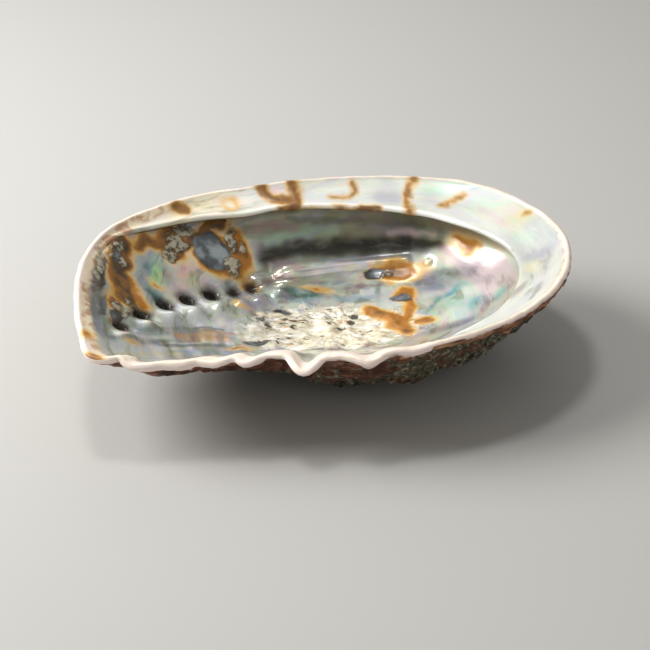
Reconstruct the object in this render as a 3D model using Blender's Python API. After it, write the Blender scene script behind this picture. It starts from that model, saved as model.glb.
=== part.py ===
"""An abalone shell lying on its back with its mother-of-pearl side up, as one solid.

Lengths are in metres unless a name or a table says millimetres. +Z is up, +X runs along the
shell to the spire end and +Y to the side of the shelf. The origin is under the middle of the
shell, on the surface that it rests on.
"""

import math

import bmesh
import bpy
import numpy as np
from mathutils import Vector, noise

MM = 0.001

# How finely the surface is drawn: columns round the shell, and rows along one section of it
COLUMNS = 88
FLOOR_ROWS = 19
FLOOR_ROW_SPREAD = 1.15
UNDERSIDE_ROWS = 4
EDGE_ROWS = 4
SHELF_ROWS = 4
LIP_ROWS = 4
OUTSIDE_ROWS = 19
OUTSIDE_ROW_SPREAD = 1.05

# The crest of the rim: angle round the shell, then its radius and height in millimetres
RIM = (
    (0, 87.8, 40.5), (15, 89.8, 41.0), (30, 87.2, 41.5), (46, 81.8, 42.0), (60, 73.5, 42.0),
    (75, 66.8, 42.0), (90, 63.0, 42.0), (105, 62.0, 42.0), (118, 63.2, 41.6),
    (132, 68.8, 41.3), (148, 76.5, 40.7), (163, 84.3, 40.3), (178, 87.5, 39.5),
    (196, 90.4, 37.5), (208, 94.2, 36.0), (216.5, 96.5, 34.5), (222, 88.6, 33.8),
    (230, 75.8, 33.6), (240, 65.8, 34.4), (252, 59.6, 35.0), (268, 59.0, 35.7),
    (284, 60.4, 36.4), (300, 63.6, 37.1), (318, 70.0, 38.0), (338, 79.6, 39.3),
)
# Points of the scalloped lip: angle, reach beyond the rim in millimetres, half width in degrees
TEETH = (
    (223.0, 1.2, 2.4), (229.0, 1.3, 2.6), (237.0, 2.2, 3.2), (245.5, 3.0, 3.0),
    (263.5, 6.2, 3.8), (284.0, 2.8, 4.5), (299.0, 0.8, 4.0),
)
TOOTH_DROOP = 0.35
NOTCH_ANGLE = 219.5
NOTCH_DEPTH = 2.5
NOTCH_HALF_WIDTH = 1.6

# Width in millimetres of the shelf inside the rim; where it is the lip's width there is no shelf
SHELF_WIDTH = (
    (0, 18.5), (20, 20.0), (44, 21.6), (60, 18.6), (80, 15.8), (100, 13.5), (114, 12.6),
    (128, 13.8), (142, 11.4), (153, 9.2), (161, 7.0), (169, 5.0), (180, 3.4), (200, 3.0), (250, 3.0),
    (290, 3.2), (308, 5.5), (320, 10.0), (334, 14.0), (350, 17.4),
)
LIP_WIDTH = 3.0
SHELF_FULL_WIDTH = 9.0
SHELF_FALL = 0.3
SHELF_SAG = 0.9
SHELF_EDGE_THICKNESS = 3.2
SHELF_ROOT = 0.45
LIP_ROOT_REACH = 0.95
UNDERSIDE_RISE = 0.28
UNDERSIDE_REACH = 0.35

# How the bowl rises from its well to the rim: an exponent, gentle near the lip, steep elsewhere
STEEPNESS = (
    (0, 2.8), (45, 2.8), (90, 2.6), (135, 2.4), (170, 2.3), (200, 2.3), (216, 1.9),
    (236, 1.6), (270, 1.55), (300, 1.75), (330, 2.3),
)
WELL_MM = (6.0, 6.0)
WELL_HEIGHT = 8.0
WELL_SOFTNESS = 0.22
WELL_REACH = 0.6
SCALLOP_REACH = 0.8

# Thickness in millimetres of the wall behind the rim, round the shell
WALL = (
    (0, 6.0), (45, 6.0), (90, 5.5), (135, 5.0), (180, 3.6), (216, 2.2), (234, 2.4),
    (250, 4.4), (266, 7.6), (285, 9.0), (310, 8.2), (335, 6.6),
)
LIP_THICKNESS = 2.4
THINNEST_WALL = 1.8
BOTTOM_THICKNESS = 8.8
LIP_TAPER_REACH = 0.35
BOTTOM_REACH = (0.1, 0.6)

# The growth line that the row of holes follows: angle and millimetres about the tip of the spire
SPIRE_MM = (58.0, 14.0)
GROWTH_LINE = (
    (100, 17.0), (120, 27.0), (135, 38.0), (145, 47.5), (154, 58.0), (164.5, 76.0), (173, 87.5),
    (178.3, 100.0), (182.4, 108.6), (186, 116.0), (197.5, 135.5), (207.5, 155.0),
)
GROWTH_LINE_SLANT = 0.64
OPEN_HOLES = (197.0, 191.3, 186.2, 182.3, 178.3)
CLOSED_HOLES = (175.2, 172.4, 167.5, 162.0, 155.5, 148.0)
HOLE_LENGTH = 5.6
HOLE_WIDTH = 4.4
HOLE_FLARE = 0.2
HOLE_CUTTER_DEPTH = 24.0
HOLE_SIDES = 16
HOLE_SEARCH_REACH = (0.3, 0.98)
HOLE_RIDGE_HEIGHT = 2.4
HOLE_RIDGE_WIDTH = 7.0
HOLE_RIDGE_START = (125.0, 150.0)
HOLE_RIDGE_END = (198.0, 207.0)
TUBERCLE_HEIGHT = 1.8
TUBERCLE_WIDTH = 5.0

# Relief of the rough outside, in millimetres
LEDGE_HEIGHT = 1.6
LEDGE_COUNT = 7.5
LEDGE_GROWN = (0.35, 0.7)
LEDGE_WANDER = (0.3, 25.0)
FOLD_HEIGHT = 0.7
FOLD_COUNT = 36
FOLD_GROWN = (0.45, 0.8)
FOLD_WANDER = (1.5, 30.0)
LUMP_HEIGHT = 1.3
LUMP_SIZE = 13.0
RELIEF_REACH = (0.18, 0.5)
RELIEF_LIP_REACH = 0.12
SPIRE_HEIGHT = 6.0
SPIRE_WIDTH = 17.0
SUTURE_DEPTH = 1.8
SUTURE_TIGHTNESS = 2.6
SUTURE_SHARPNESS = 3.0

# Relief of the pearly inside: place and size in millimetres, then height
SCAR_MM = (1.0, -2.0)
SCAR_SIZE = (30.0, 17.0)
SCAR_HEIGHT = 0.9
SCAR_GRAIN = 7.0
SCAR_SWELL = 0.4
BLISTERS = (
    (-38.0, 33.0, 8.0, 1.6), (-47.0, 30.0, 5.5, 1.1), (41.0, 36.0, 2.6, 1.5),
    (47.0, 12.0, 9.0, 0.9), (-6.0, 20.0, 7.0, 0.5),
)
PIT_DEPTH = 2.2
PIT_SIZE = 3.8
HUMP_HEIGHT = 1.6
HUMP_SIZE = 3.4
HUMP_OFFSET_MM = (3.0, -7.0)

PEARL_COLOUR = (0.72, 0.71, 0.66, 1.0)
PEARL_ROUGHNESS = 0.25
PEARL_METALLIC = 0.25


def clear_scene():
    """Remove whatever the scene starts with."""
    for obj in list(bpy.data.objects):
        bpy.data.objects.remove(obj, do_unlink=True)


def new_collection(name):
    collection = bpy.data.collections.new(name)
    bpy.context.scene.collection.children.link(collection)
    return collection


def smoothstep(low, high, value):
    """0 below low, 1 above high, and an even rise between them."""
    t = np.clip((value - low) / (high - low), 0.0, 1.0)
    return t * t * (3.0 - 2.0 * t)


def around(knots, column, angles):
    """One column of a table, carried smoothly all round the shell to the given angles."""
    at = np.array([knot[0] for knot in knots], float)
    value = np.array([knot[column] for knot in knots], float)
    at = np.concatenate((at - 360.0, at, at + 360.0))
    value = np.tile(value, 3)
    slope = np.gradient(value, at)
    index = np.searchsorted(at, angles, side="right") - 1
    span = at[index + 1] - at[index]
    t = (angles - at[index]) / span
    start = (2 * t**3 - 3 * t**2 + 1) * value[index] + (t**3 - 2 * t**2 + t) * span * slope[index]
    end = (3 * t**2 - 2 * t**3) * value[index + 1] + (t**3 - t**2) * span * slope[index + 1]
    return start + end


def turn_between(angles, centre):
    """Signed angle from a direction, between -180 and 180 degrees."""
    return (angles - centre + 180.0) % 360.0 - 180.0


def lip_reach(angles):
    """How far the points and the notch of the lip stand beyond the even rim."""
    reach = np.zeros_like(angles)
    for angle, height, half_width in TEETH:
        reach += height * np.exp(-(turn_between(angles, angle) / half_width) ** 2)
    reach -= NOTCH_DEPTH * np.exp(-(turn_between(angles, NOTCH_ANGLE) / NOTCH_HALF_WIDTH) ** 2)
    return reach


def bowl(angles, reach):
    """Points on the inside of the bowl; reach is 0 in the well and 1 at the rim."""
    power = 2.0 + (around(STEEPNESS, 1, angles) - 2.0) * smoothstep(0.0, WELL_REACH, reach)
    soft = WELL_SOFTNESS
    low = soft**power
    rise = ((reach**2 + soft**2) ** (power / 2) - low) / ((1 + soft**2) ** (power / 2) - low)
    scallop = lip_reach(angles) * smoothstep(SCALLOP_REACH, 1.0, reach)
    radius = reach * (around(RIM, 1, angles) - LIP_THICKNESS) + scallop
    direction = np.radians(angles)
    x = WELL_MM[0] * (1 - reach) + radius * np.cos(direction)
    y = WELL_MM[1] * (1 - reach) + radius * np.sin(direction)
    z = WELL_HEIGHT + (around(RIM, 2, angles) - WELL_HEIGHT) * rise - TOOTH_DROOP * scallop
    return np.stack((x, y, z), axis=-1)


def unit(vectors):
    return vectors / np.linalg.norm(vectors, axis=-1, keepdims=True)


def bowl_normal(angles, reach):
    """The direction out of the bowl through its wall."""
    step_round = 0.5
    step_out = 0.01
    reach = np.maximum(reach, 0.02)
    along = bowl(angles + step_round, reach) - bowl(angles - step_round, reach)
    out = bowl(angles, reach + step_out) - bowl(angles, reach - step_out)
    return unit(np.cross(along, out))


def bump(points, centre, size):
    """A round swelling, 1 at its centre, seen from above."""
    dx = points[..., 0] - centre[0]
    dy = points[..., 1] - centre[1]
    return np.exp(-(dx**2 + dy**2) / size**2)


def growth_place(angle):
    """Plan position, in millimetres, on the growth line at an angle about the spire."""
    radius = float(around(GROWTH_LINE, 1, np.array([angle]))[0])
    direction = math.radians(angle)
    return (SPIRE_MM[0] + radius * math.cos(direction), SPIRE_MM[1] + radius * math.sin(direction))


def growth_distance(points):
    """Distance in millimetres across the growth line, and the angle about the spire."""
    dx = points[..., 0] - SPIRE_MM[0]
    dy = points[..., 1] - SPIRE_MM[1]
    angle = np.degrees(np.arctan2(dy, dx)) % 360.0
    return (np.hypot(dx, dy) - around(GROWTH_LINE, 1, angle)) * GROWTH_LINE_SLANT, angle


def lumps(points, size, seed):
    """Smooth lumps between about -1 and 1, with no random draw in them."""
    shift = Vector((seed * 17.3, seed * 5.1, seed * 9.7))
    flat = points.reshape(-1, 3)
    values = [noise.noise(Vector(point) / size + shift) for point in flat]
    return 2.0 * np.array(values).reshape(points.shape[:-1])


def inside_relief(points):
    """Height in millimetres of the scar, blisters, sealed holes and humps above the bowl."""
    scar = ((points[..., 0] - SCAR_MM[0]) / SCAR_SIZE[0]) ** 2
    scar = np.exp(-(scar + ((points[..., 1] - SCAR_MM[1]) / SCAR_SIZE[1]) ** 2) ** 2)
    height = SCAR_HEIGHT * scar * (SCAR_SWELL + lumps(points, SCAR_GRAIN, 1))
    for x, y, size, rise in BLISTERS:
        height += rise * bump(points, (x, y), size)
    for angle in OPEN_HOLES + CLOSED_HOLES[:3]:
        x, y = growth_place(angle)
        height -= PIT_DEPTH * bump(points, (x, y), PIT_SIZE)
        hump = (x + HUMP_OFFSET_MM[0], y + HUMP_OFFSET_MM[1])
        height += HUMP_HEIGHT * bump(points, hump, HUMP_SIZE)
    return height


def growth_share(points):
    """How far out a point had grown: 0 at the spire and 1 at today's rim."""
    angles = np.arange(0.0, 360.0, 2.0)
    radius = around(RIM, 1, angles)
    dx = radius * np.cos(np.radians(angles)) - SPIRE_MM[0]
    dy = radius * np.sin(np.radians(angles)) - SPIRE_MM[1]
    rim_angle = np.degrees(np.arctan2(dy, dx)) % 360.0
    order = np.argsort(rim_angle)
    dx_point = points[..., 0] - SPIRE_MM[0]
    dy_point = points[..., 1] - SPIRE_MM[1]
    angle = np.degrees(np.arctan2(dy_point, dx_point)) % 360.0
    to_rim = np.interp(angle, rim_angle[order], np.hypot(dx, dy)[order], period=360.0)
    return np.hypot(dx_point, dy_point) / to_rim


def outside_relief(points, reach):
    """Height in millimetres of the ledges, folds, ridge, spire and lumps on the outside."""
    across, angle = growth_distance(points)
    grown = growth_share(points)
    steps = grown * LEDGE_COUNT + LEDGE_WANDER[0] * lumps(points, LEDGE_WANDER[1], 2)
    height = LEDGE_HEIGHT * (steps % 1.0) ** 2 * smoothstep(*LEDGE_GROWN, grown)
    wander = FOLD_WANDER[0] * lumps(points, FOLD_WANDER[1], 4)
    fold = np.sin(np.radians(angle) * FOLD_COUNT + wander)
    height += FOLD_HEIGHT * fold * smoothstep(*FOLD_GROWN, grown)
    height += LUMP_HEIGHT * lumps(points, LUMP_SIZE, 3)
    height *= smoothstep(*RELIEF_REACH, reach)
    ridge = np.exp(-(across / HOLE_RIDGE_WIDTH) ** 2) * smoothstep(*HOLE_RIDGE_START, angle)
    ridge *= 1.0 - smoothstep(*HOLE_RIDGE_END, angle)
    height += HOLE_RIDGE_HEIGHT * ridge
    for place in OPEN_HOLES + CLOSED_HOLES:
        height += TUBERCLE_HEIGHT * bump(points, growth_place(place), TUBERCLE_WIDTH)
    spire = bump(points, SPIRE_MM, SPIRE_WIDTH)
    distance = np.hypot(points[..., 0] - SPIRE_MM[0], points[..., 1] - SPIRE_MM[1])
    whorl = np.radians(angle) - np.log(np.maximum(distance, 1.0)) * SUTURE_TIGHTNESS
    suture = np.exp(-(np.sin(whorl / 2) * SUTURE_SHARPNESS) ** 2)
    height += (SPIRE_HEIGHT - SUTURE_DEPTH * suture) * spire
    return height * smoothstep(0.0, RELIEF_LIP_REACH, 1.02 - reach)


def floor_rows(angles, last_reach):
    """The inside of the bowl, from the well to the foot of the shelf."""
    rows = []
    for row in range(FLOOR_ROWS + 1):
        share = row / FLOOR_ROWS
        reach = np.maximum(last_reach * (1 - (1 - share) ** FLOOR_ROW_SPREAD), 0.0)
        points = bowl(angles, reach)
        lift = inside_relief(points) * (1 - smoothstep(SCALLOP_REACH, 1.0, reach)) * (row > 0)
        rows.append(points - bowl_normal(angles, reach) * lift[:, None])
    rows[0][:] = rows[0].mean(axis=0)
    return rows


def shelf_rows(angles, foot_reach, fullness):
    """The shelf's underside, its rounded inner edge and its top; it fades out into the lip."""
    direction = np.stack((np.cos(np.radians(angles)), np.sin(np.radians(angles))), axis=-1)
    width = around(SHELF_WIDTH, 1, angles)
    edge_radius = around(RIM, 1, angles) - width + lip_reach(angles)
    edge_height = around(RIM, 2, angles) - SHELF_FALL * width
    half = SHELF_EDGE_THICKNESS / 2

    def at(radius, height):
        return np.concatenate((direction * radius[:, None], height[:, None]), axis=1)

    foot = bowl(angles, foot_reach)
    rise = unit(bowl(angles, foot_reach + 0.02) - foot)
    under = at(edge_radius + half, edge_height - 2 * half)
    outward = np.concatenate((direction, np.zeros((len(angles), 1))), axis=1)
    leaving = foot + rise * (UNDERSIDE_RISE * width)[:, None]
    arriving = under + outward * (UNDERSIDE_REACH * width)[:, None]
    controls = (foot, leaving, arriving, under)
    path = []
    for row in range(1, UNDERSIDE_ROWS + 1):
        t = row / UNDERSIDE_ROWS
        weights = ((1 - t) ** 3, 3 * t * (1 - t) ** 2, 3 * t**2 * (1 - t), t**3)
        path.append(sum(weight * control for weight, control in zip(weights, controls)))
    for row in range(1, EDGE_ROWS + 1):
        turn = math.pi * (row / EDGE_ROWS - 0.5)
        radius = edge_radius + half - half * math.cos(turn)
        path.append(at(radius, edge_height - half + half * math.sin(turn)))
    rim = bowl(angles, np.ones_like(angles))
    top = path[-1]
    for row in range(1, SHELF_ROWS + 1):
        t = row / SHELF_ROWS
        point = top + (rim - top) * t
        point[:, 2] -= 4 * t * (1 - t) * SHELF_SAG
        path.append(point)
    rows = []
    for row, shelf_point in enumerate(path, 1):
        plain = bowl(angles, foot_reach + (1 - foot_reach) * row / len(path))
        rows.append(plain + (shelf_point - plain) * fullness[:, None])
    return rows


def outside_points(angles, reach):
    """Points on the rough outside, a wall's thickness out of the bowl."""
    behind_lip = smoothstep(0.0, LIP_TAPER_REACH, 1.0 - reach)
    thickness = LIP_THICKNESS + (around(WALL, 1, angles) - LIP_THICKNESS) * behind_lip
    towards_bottom = 1.0 - smoothstep(*BOTTOM_REACH, reach)
    thickness += (BOTTOM_THICKNESS - thickness) * towards_bottom
    base = bowl(angles, reach)
    thickness = np.maximum(thickness + outside_relief(base, reach), THINNEST_WALL)
    points = base + bowl_normal(angles, reach) * thickness[:, None]
    points[:, 2] = np.maximum(points[:, 2], 0.0)
    return points


def lip_rows(angles):
    """The rounded crest of the rim, from its inner to its outer side."""
    inner = bowl(angles, np.ones_like(angles))
    outer = outside_points(angles, np.ones_like(angles))
    middle = (inner + outer) / 2
    inward = (inner - outer) / 2
    half = np.linalg.norm(inward, axis=1, keepdims=True)
    upward = unit(inner - bowl(angles, np.full_like(angles, 0.98)))
    rows = []
    for row in range(1, LIP_ROWS + 1):
        turn = math.pi * row / LIP_ROWS
        rows.append(middle + inward * math.cos(turn) + upward * half * math.sin(turn))
    return rows


def outside_rows(angles):
    """The outside of the shell, from the rim down to the worn flat that it rests on."""
    rows = []
    for row in range(1, OUTSIDE_ROWS + 1):
        share = row / OUTSIDE_ROWS
        rows.append(outside_points(angles, np.full_like(angles, 1.0 - share**OUTSIDE_ROW_SPREAD)))
    rows[-1][:] = rows[-1].mean(axis=0)
    return rows


def surface_rows():
    """Every row of the surface in millimetres, from the well over the rim to the bottom."""
    angles = np.arange(COLUMNS) * 360.0 / COLUMNS
    width = around(SHELF_WIDTH, 1, angles)
    fullness = smoothstep(LIP_WIDTH, SHELF_FULL_WIDTH, width)
    span = around(RIM, 1, angles)
    foot_reach = LIP_ROOT_REACH + (1 - SHELF_ROOT * width / span - LIP_ROOT_REACH) * fullness
    rows = floor_rows(angles, foot_reach)
    rows += shelf_rows(angles, foot_reach, fullness)
    rows += lip_rows(angles)
    rows += outside_rows(angles)
    return np.array(rows)


def plan_middle(rows):
    """The middle of the shell seen from above, in millimetres, which goes over the origin."""
    middle = (rows.min(axis=(0, 1)) + rows.max(axis=(0, 1))) / 2
    return np.array((middle[0], middle[1], 0.0))


def add_shell(rows, collection):
    """A ball whose upper half is pressed in to make the bowl and whose lower half is its outside."""
    last = len(rows) - 1
    mesh = bpy.data.meshes.new("shell")
    form = bmesh.new()
    bmesh.ops.create_uvsphere(form, u_segments=COLUMNS, v_segments=last, radius=1.0)
    for vertex in form.verts:
        x, y, z = vertex.co
        row = round(math.acos(max(-1.0, min(1.0, z))) / math.pi * last)
        column = round(math.atan2(y, x) / math.tau * COLUMNS) % COLUMNS
        vertex.co = Vector(rows[row, column] * MM)
    form.to_mesh(mesh)
    form.free()
    shell = bpy.data.objects.new("shell", mesh)
    collection.objects.link(shell)
    return shell


def hole_frame(angle):
    """Middle of the wall, in millimetres, and the direction through it, where a hole goes."""
    x, y = growth_place(angle)
    target = np.array((x, y))
    angles, reach = np.meshgrid(np.arange(0.0, 360.0, 0.5), np.linspace(*HOLE_SEARCH_REACH, 200))
    points = bowl(angles, reach)
    nearest = np.argmin(np.linalg.norm(points[..., :2] - target, axis=-1))
    found_angle = angles.reshape(-1)[nearest:nearest + 1]
    found_reach = reach.reshape(-1)[nearest:nearest + 1]
    normal = bowl_normal(found_angle, found_reach)[0]
    middle = bowl(found_angle, found_reach)[0] + normal * LIP_THICKNESS
    return middle, Vector(normal)


def add_hole_cutter(number, angle, middle_of_plan, collection):
    """An oval peg, wider outside, along the hole that the shell once breathed through."""
    middle, normal = hole_frame(angle)
    bpy.ops.mesh.primitive_cone_add(
        vertices=HOLE_SIDES,
        radius1=HOLE_WIDTH / 2 * (1 - HOLE_FLARE) * MM,
        radius2=HOLE_WIDTH / 2 * (1 + HOLE_FLARE) * MM,
        depth=HOLE_CUTTER_DEPTH * MM,
    )
    cutter = bpy.context.object
    cutter.name = f"hole_cutter_{number}"
    turn = math.radians(angle)
    along = Vector((math.cos(turn), math.sin(turn), 0.0))
    side = normal.cross(along).normalized()
    along = side.cross(normal).normalized()
    stretch = HOLE_LENGTH / HOLE_WIDTH
    for vertex in cutter.data.vertices:
        local = vertex.co.copy()
        vertex.co = along * local.x * stretch + side * local.y + normal * local.z
    cutter.location = Vector((middle - middle_of_plan) * MM)
    for old in list(cutter.users_collection):
        old.objects.unlink(cutter)
    collection.objects.link(cutter)
    cutter.hide_render = True
    cutter.display_type = "WIRE"
    return cutter


def add_material(shell):
    material = bpy.data.materials.new("mother_of_pearl")
    material.use_nodes = True
    finish = material.node_tree.nodes["Principled BSDF"]
    finish.inputs["Base Color"].default_value = PEARL_COLOUR
    finish.inputs["Roughness"].default_value = PEARL_ROUGHNESS
    finish.inputs["Metallic"].default_value = PEARL_METALLIC
    shell.data.materials.append(material)


def main():
    clear_scene()
    model = new_collection("abalone_shell")
    cutters = new_collection("cutters")
    rows = surface_rows()
    middle_of_plan = plan_middle(rows)
    shell = add_shell(rows - middle_of_plan, model)
    add_material(shell)
    shell.data.shade_smooth()
    for number, angle in enumerate(OPEN_HOLES, 1):
        hole = shell.modifiers.new(f"hole_{number}", "BOOLEAN")
        hole.operation = "DIFFERENCE"
        hole.solver = "EXACT"
        hole.object = add_hole_cutter(number, angle, middle_of_plan, cutters)


main()
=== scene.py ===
"""An abalone shell on its back, mother-of-pearl side up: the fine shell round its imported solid.

Tables are in millimetres and degrees, and Blender's units are metres. +X runs to the spire end,
+Y to the side of the shelf and +Z up. The origin is under the middle of the shell.
"""

import math
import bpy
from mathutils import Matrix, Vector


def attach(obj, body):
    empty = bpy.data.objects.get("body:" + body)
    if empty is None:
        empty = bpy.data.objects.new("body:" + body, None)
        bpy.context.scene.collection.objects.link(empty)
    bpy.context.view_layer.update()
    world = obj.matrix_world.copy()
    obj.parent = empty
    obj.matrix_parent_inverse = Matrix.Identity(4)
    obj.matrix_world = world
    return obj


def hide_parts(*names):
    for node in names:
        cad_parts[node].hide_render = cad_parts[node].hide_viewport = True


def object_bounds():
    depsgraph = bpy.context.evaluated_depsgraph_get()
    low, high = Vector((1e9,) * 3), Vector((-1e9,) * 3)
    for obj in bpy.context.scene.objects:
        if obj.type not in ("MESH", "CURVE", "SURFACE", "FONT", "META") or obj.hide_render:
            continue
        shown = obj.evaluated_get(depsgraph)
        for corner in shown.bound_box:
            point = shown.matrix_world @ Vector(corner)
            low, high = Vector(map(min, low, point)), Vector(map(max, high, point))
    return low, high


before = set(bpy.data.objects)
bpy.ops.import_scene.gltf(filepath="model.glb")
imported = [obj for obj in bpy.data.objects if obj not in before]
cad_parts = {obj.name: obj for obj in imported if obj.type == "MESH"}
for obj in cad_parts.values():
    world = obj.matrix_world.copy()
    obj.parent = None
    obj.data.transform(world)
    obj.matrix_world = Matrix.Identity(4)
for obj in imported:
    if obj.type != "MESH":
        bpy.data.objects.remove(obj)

from types import SimpleNamespace

import bpy
import numpy as np
from bpy.props import FloatProperty, FloatVectorProperty, IntProperty, PointerProperty
from bpy.types import Operator, Panel, PropertyGroup
from mathutils import Vector, kdtree, noise

bl_info = {
    "name": "Abalone Shell",
    "version": (1, 0, 0),
    "blender": (4, 5, 0),
    "location": "3D View > Sidebar > Abalone",
    "description": "Adds an abalone shell with its mother-of-pearl, stains and rough back",
    "category": "Add Mesh",
}

CAD_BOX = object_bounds()
MM = 0.001
# How far apart one pattern of lumps and the next are read in the same noise
SEED_SHIFT = (17.3, 5.1, 9.7)

# Rows along one section of the shell, from the well over the rim to the bottom
FLOOR_ROWS = 92
UNDERSIDE_ROWS = 12
EDGE_ROWS = 12
SHELF_ROWS = 16
LIP_ROWS = 12
OUTSIDE_ROWS = 60
FLOOR_ROW_SPREAD = 1.15
OUTSIDE_ROW_SPREAD = 1.05

# The crest of the rim: angle round the shell, then its radius and height
RIM = (
    (0, 87.8, 40.5), (15, 89.8, 41), (30, 87.2, 41.5), (46, 81.8, 42), (60, 73.5, 42), (75, 66.8, 42),
    (90, 63, 42), (105, 62, 42), (118, 63.2, 41.6), (132, 68.8, 41.3), (148, 76.5, 40.7),
    (163, 84.3, 40.3), (178, 87.5, 39.5), (196, 90.4, 37.5), (208, 94.2, 36), (216.5, 96.5, 34.5),
    (222, 88.6, 33.8), (230, 75.8, 33.6), (240, 65.8, 34.4), (252, 59.6, 35), (268, 59, 35.7),
    (284, 60.4, 36.4), (300, 63.6, 37.1), (318, 70, 38), (338, 79.6, 39.3),
)
# Points of the scalloped lip: angle, reach beyond the rim, half width in degrees
TEETH = (
    (223, 1.2, 2.4), (229, 1.3, 2.6), (237, 2.2, 3.2), (245.5, 3, 3),
    (263.5, 6.2, 3.8), (284, 2.8, 4.5), (299, 0.8, 4),
)
# A tooth leans down by this share of its reach
TOOTH_DROOP = 0.35
NOTCH_ANGLE = 219.5
NOTCH_DEPTH = 2.5
NOTCH_HALF_WIDTH = 1.6

# Width of the shelf inside the rim; where it is the lip's width there is no shelf
SHELF_WIDTH = (
    (0, 18.5), (20, 20), (44, 21.6), (60, 18.6), (80, 15.8), (100, 13.5), (114, 12.6),
    (128, 13.8), (142, 11.4), (153, 9.2), (161, 7), (169, 5), (180, 3.4), (200, 3), (250, 3),
    (290, 3.2), (308, 5.5), (320, 10), (334, 14), (350, 17.4),
)
LIP_WIDTH = 3.0
SHELF_FULL_WIDTH = 9.0
SHELF_FALL = 0.3
SHELF_SAG = 0.9
SHELF_ROOT = 0.45
LIP_ROOT_REACH = 0.95
# Small steps of reach that give the bowl's direction at the rim and at the shelf's foot
JUST_INSIDE = 0.98
FOOT_STEP = 0.02
# How far the near lip flares out flat: angle and height
FLARE = (
    (0, 0), (100, 0), (200, 0), (216, 0.4), (230, 1.3), (250, 1.5), (280, 1.5), (298, 1.2),
    (318, 0.4), (335, 0),
)
FLARE_START = 0.70
# Brings the crest of the curve t * t * (1 - t) to 1
FLARE_SCALE = 27 / 4
UNDERSIDE_RISE = 0.28
UNDERSIDE_REACH = 0.35

# How the bowl rises from its well to the rim: an exponent, gentle near the lip, steep elsewhere
STEEPNESS = (
    (0, 2.8), (45, 2.8), (90, 2.6), (135, 2.4), (170, 2.3), (200, 2.3), (216, 1.9),
    (236, 1.6), (270, 1.55), (300, 1.75), (330, 2.3),
)
WELL = (6.0, 6.0)
WELL_SOFTNESS = 0.22
WELL_REACH = 0.6
SCALLOP_REACH = 0.8
LEAST_REACH = 0.02

# Thickness of the wall behind the rim, round the shell
WALL = (
    (0, 6), (45, 6), (90, 5.5), (135, 5), (180, 3.6), (216, 2.2), (234, 2.4),
    (250, 4.4), (266, 7.6), (285, 9), (310, 8.2), (335, 6.6),
)
THINNEST_WALL = 1.8
LIP_TAPER_REACH = 0.35
BOTTOM_REACH = (0.1, 0.6)

# The growth line that the row of holes follows: angle and distance about the tip of the spire
SPIRE = (58.0, 14.0)
GROWTH_LINE = (
    (100, 17), (120, 27), (135, 38), (145, 47.5), (154, 58), (164.5, 76), (173, 87.5),
    (178.3, 100), (182.4, 108.6), (186, 116), (197.5, 135.5), (207.5, 155),
)
GROWTH_LINE_SLANT = 0.64
OPEN_HOLES = (197.0, 191.3, 186.2, 182.3, 178.3)
CLOSED_HOLES = (175.2, 172.4, 167.5, 162.0, 155.5, 148.0)
HOLE_FLARE = 0.2
HOLE_CUTTER_DEPTH = 24.0
HOLE_SIDES = 40
HOLE_WALL_REACH = 7.0
HOLE_WALL_SLANT = 0.45
HOLE_SEARCH_REACH = (0.3, 0.98, 200)
HOLE_SEARCH_STEP = 0.5
# Half widths of the shade painted in the throats of the open holes and the first closed holes
OPEN_HOLE_SHADE = 2.6
CLOSED_HOLE_SHADE = 1.8
HOLE_RIDGE_HEIGHT = 2.4
HOLE_RIDGE_WIDTH = 7.0
HOLE_RIDGE_START = (125.0, 150.0)
HOLE_RIDGE_END = (198.0, 207.0)
TUBERCLE_HEIGHT = 1.8
TUBERCLE_WIDTH = 5.0

# Outside: where ledges and folds start and are full in the growth, and how high and long they wander
LEDGE_COUNT = 7.5
LEDGE_GROWN = (0.35, 0.7)
LEDGE_WANDER = (0.3, 25.0)
FOLD_COUNT = 36
FOLD_GROWN = (0.45, 0.8)
FOLD_WANDER = (1.5, 30.0)
LUMP_SIZE = 13.0
RELIEF_REACH = (0.18, 0.5)
RELIEF_LIP_REACH = 0.12
RELIEF_PAST_LIP = 0.02
SPIRE_HEIGHT = 6.0
SPIRE_WIDTH = 17.0
SUTURE_DEPTH = 1.8
SUTURE_TIGHTNESS = 2.6
SUTURE_SHARPNESS = 3.0

# Inside: the swollen muscle scar, the humps below the holes, and where all of it fades out
SCAR_MIDDLE = (1.0, -2.0)
SCAR_SIZE = (30.0, 17.0)
SCAR_HEIGHT = 0.9
SCAR_GRAIN = 7.0
SCAR_SWELL = 0.4
# Swellings of the floor: middle, half width, height
BLISTERS = (
    (-38, 33, 8, 1.6), (-47, 30, 5.5, 1.1), (39.6, 38.4, 1.1, 0.6),
    (47, 12, 9, 0.9), (-6, 20, 7, 0.5),
)
HUMP_HEIGHT = 2.1
HUMP_SIZE = 3.4
HUMP_OFFSET = (3.0, -7.0)
INSIDE_RELIEF_END = 0.8

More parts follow.
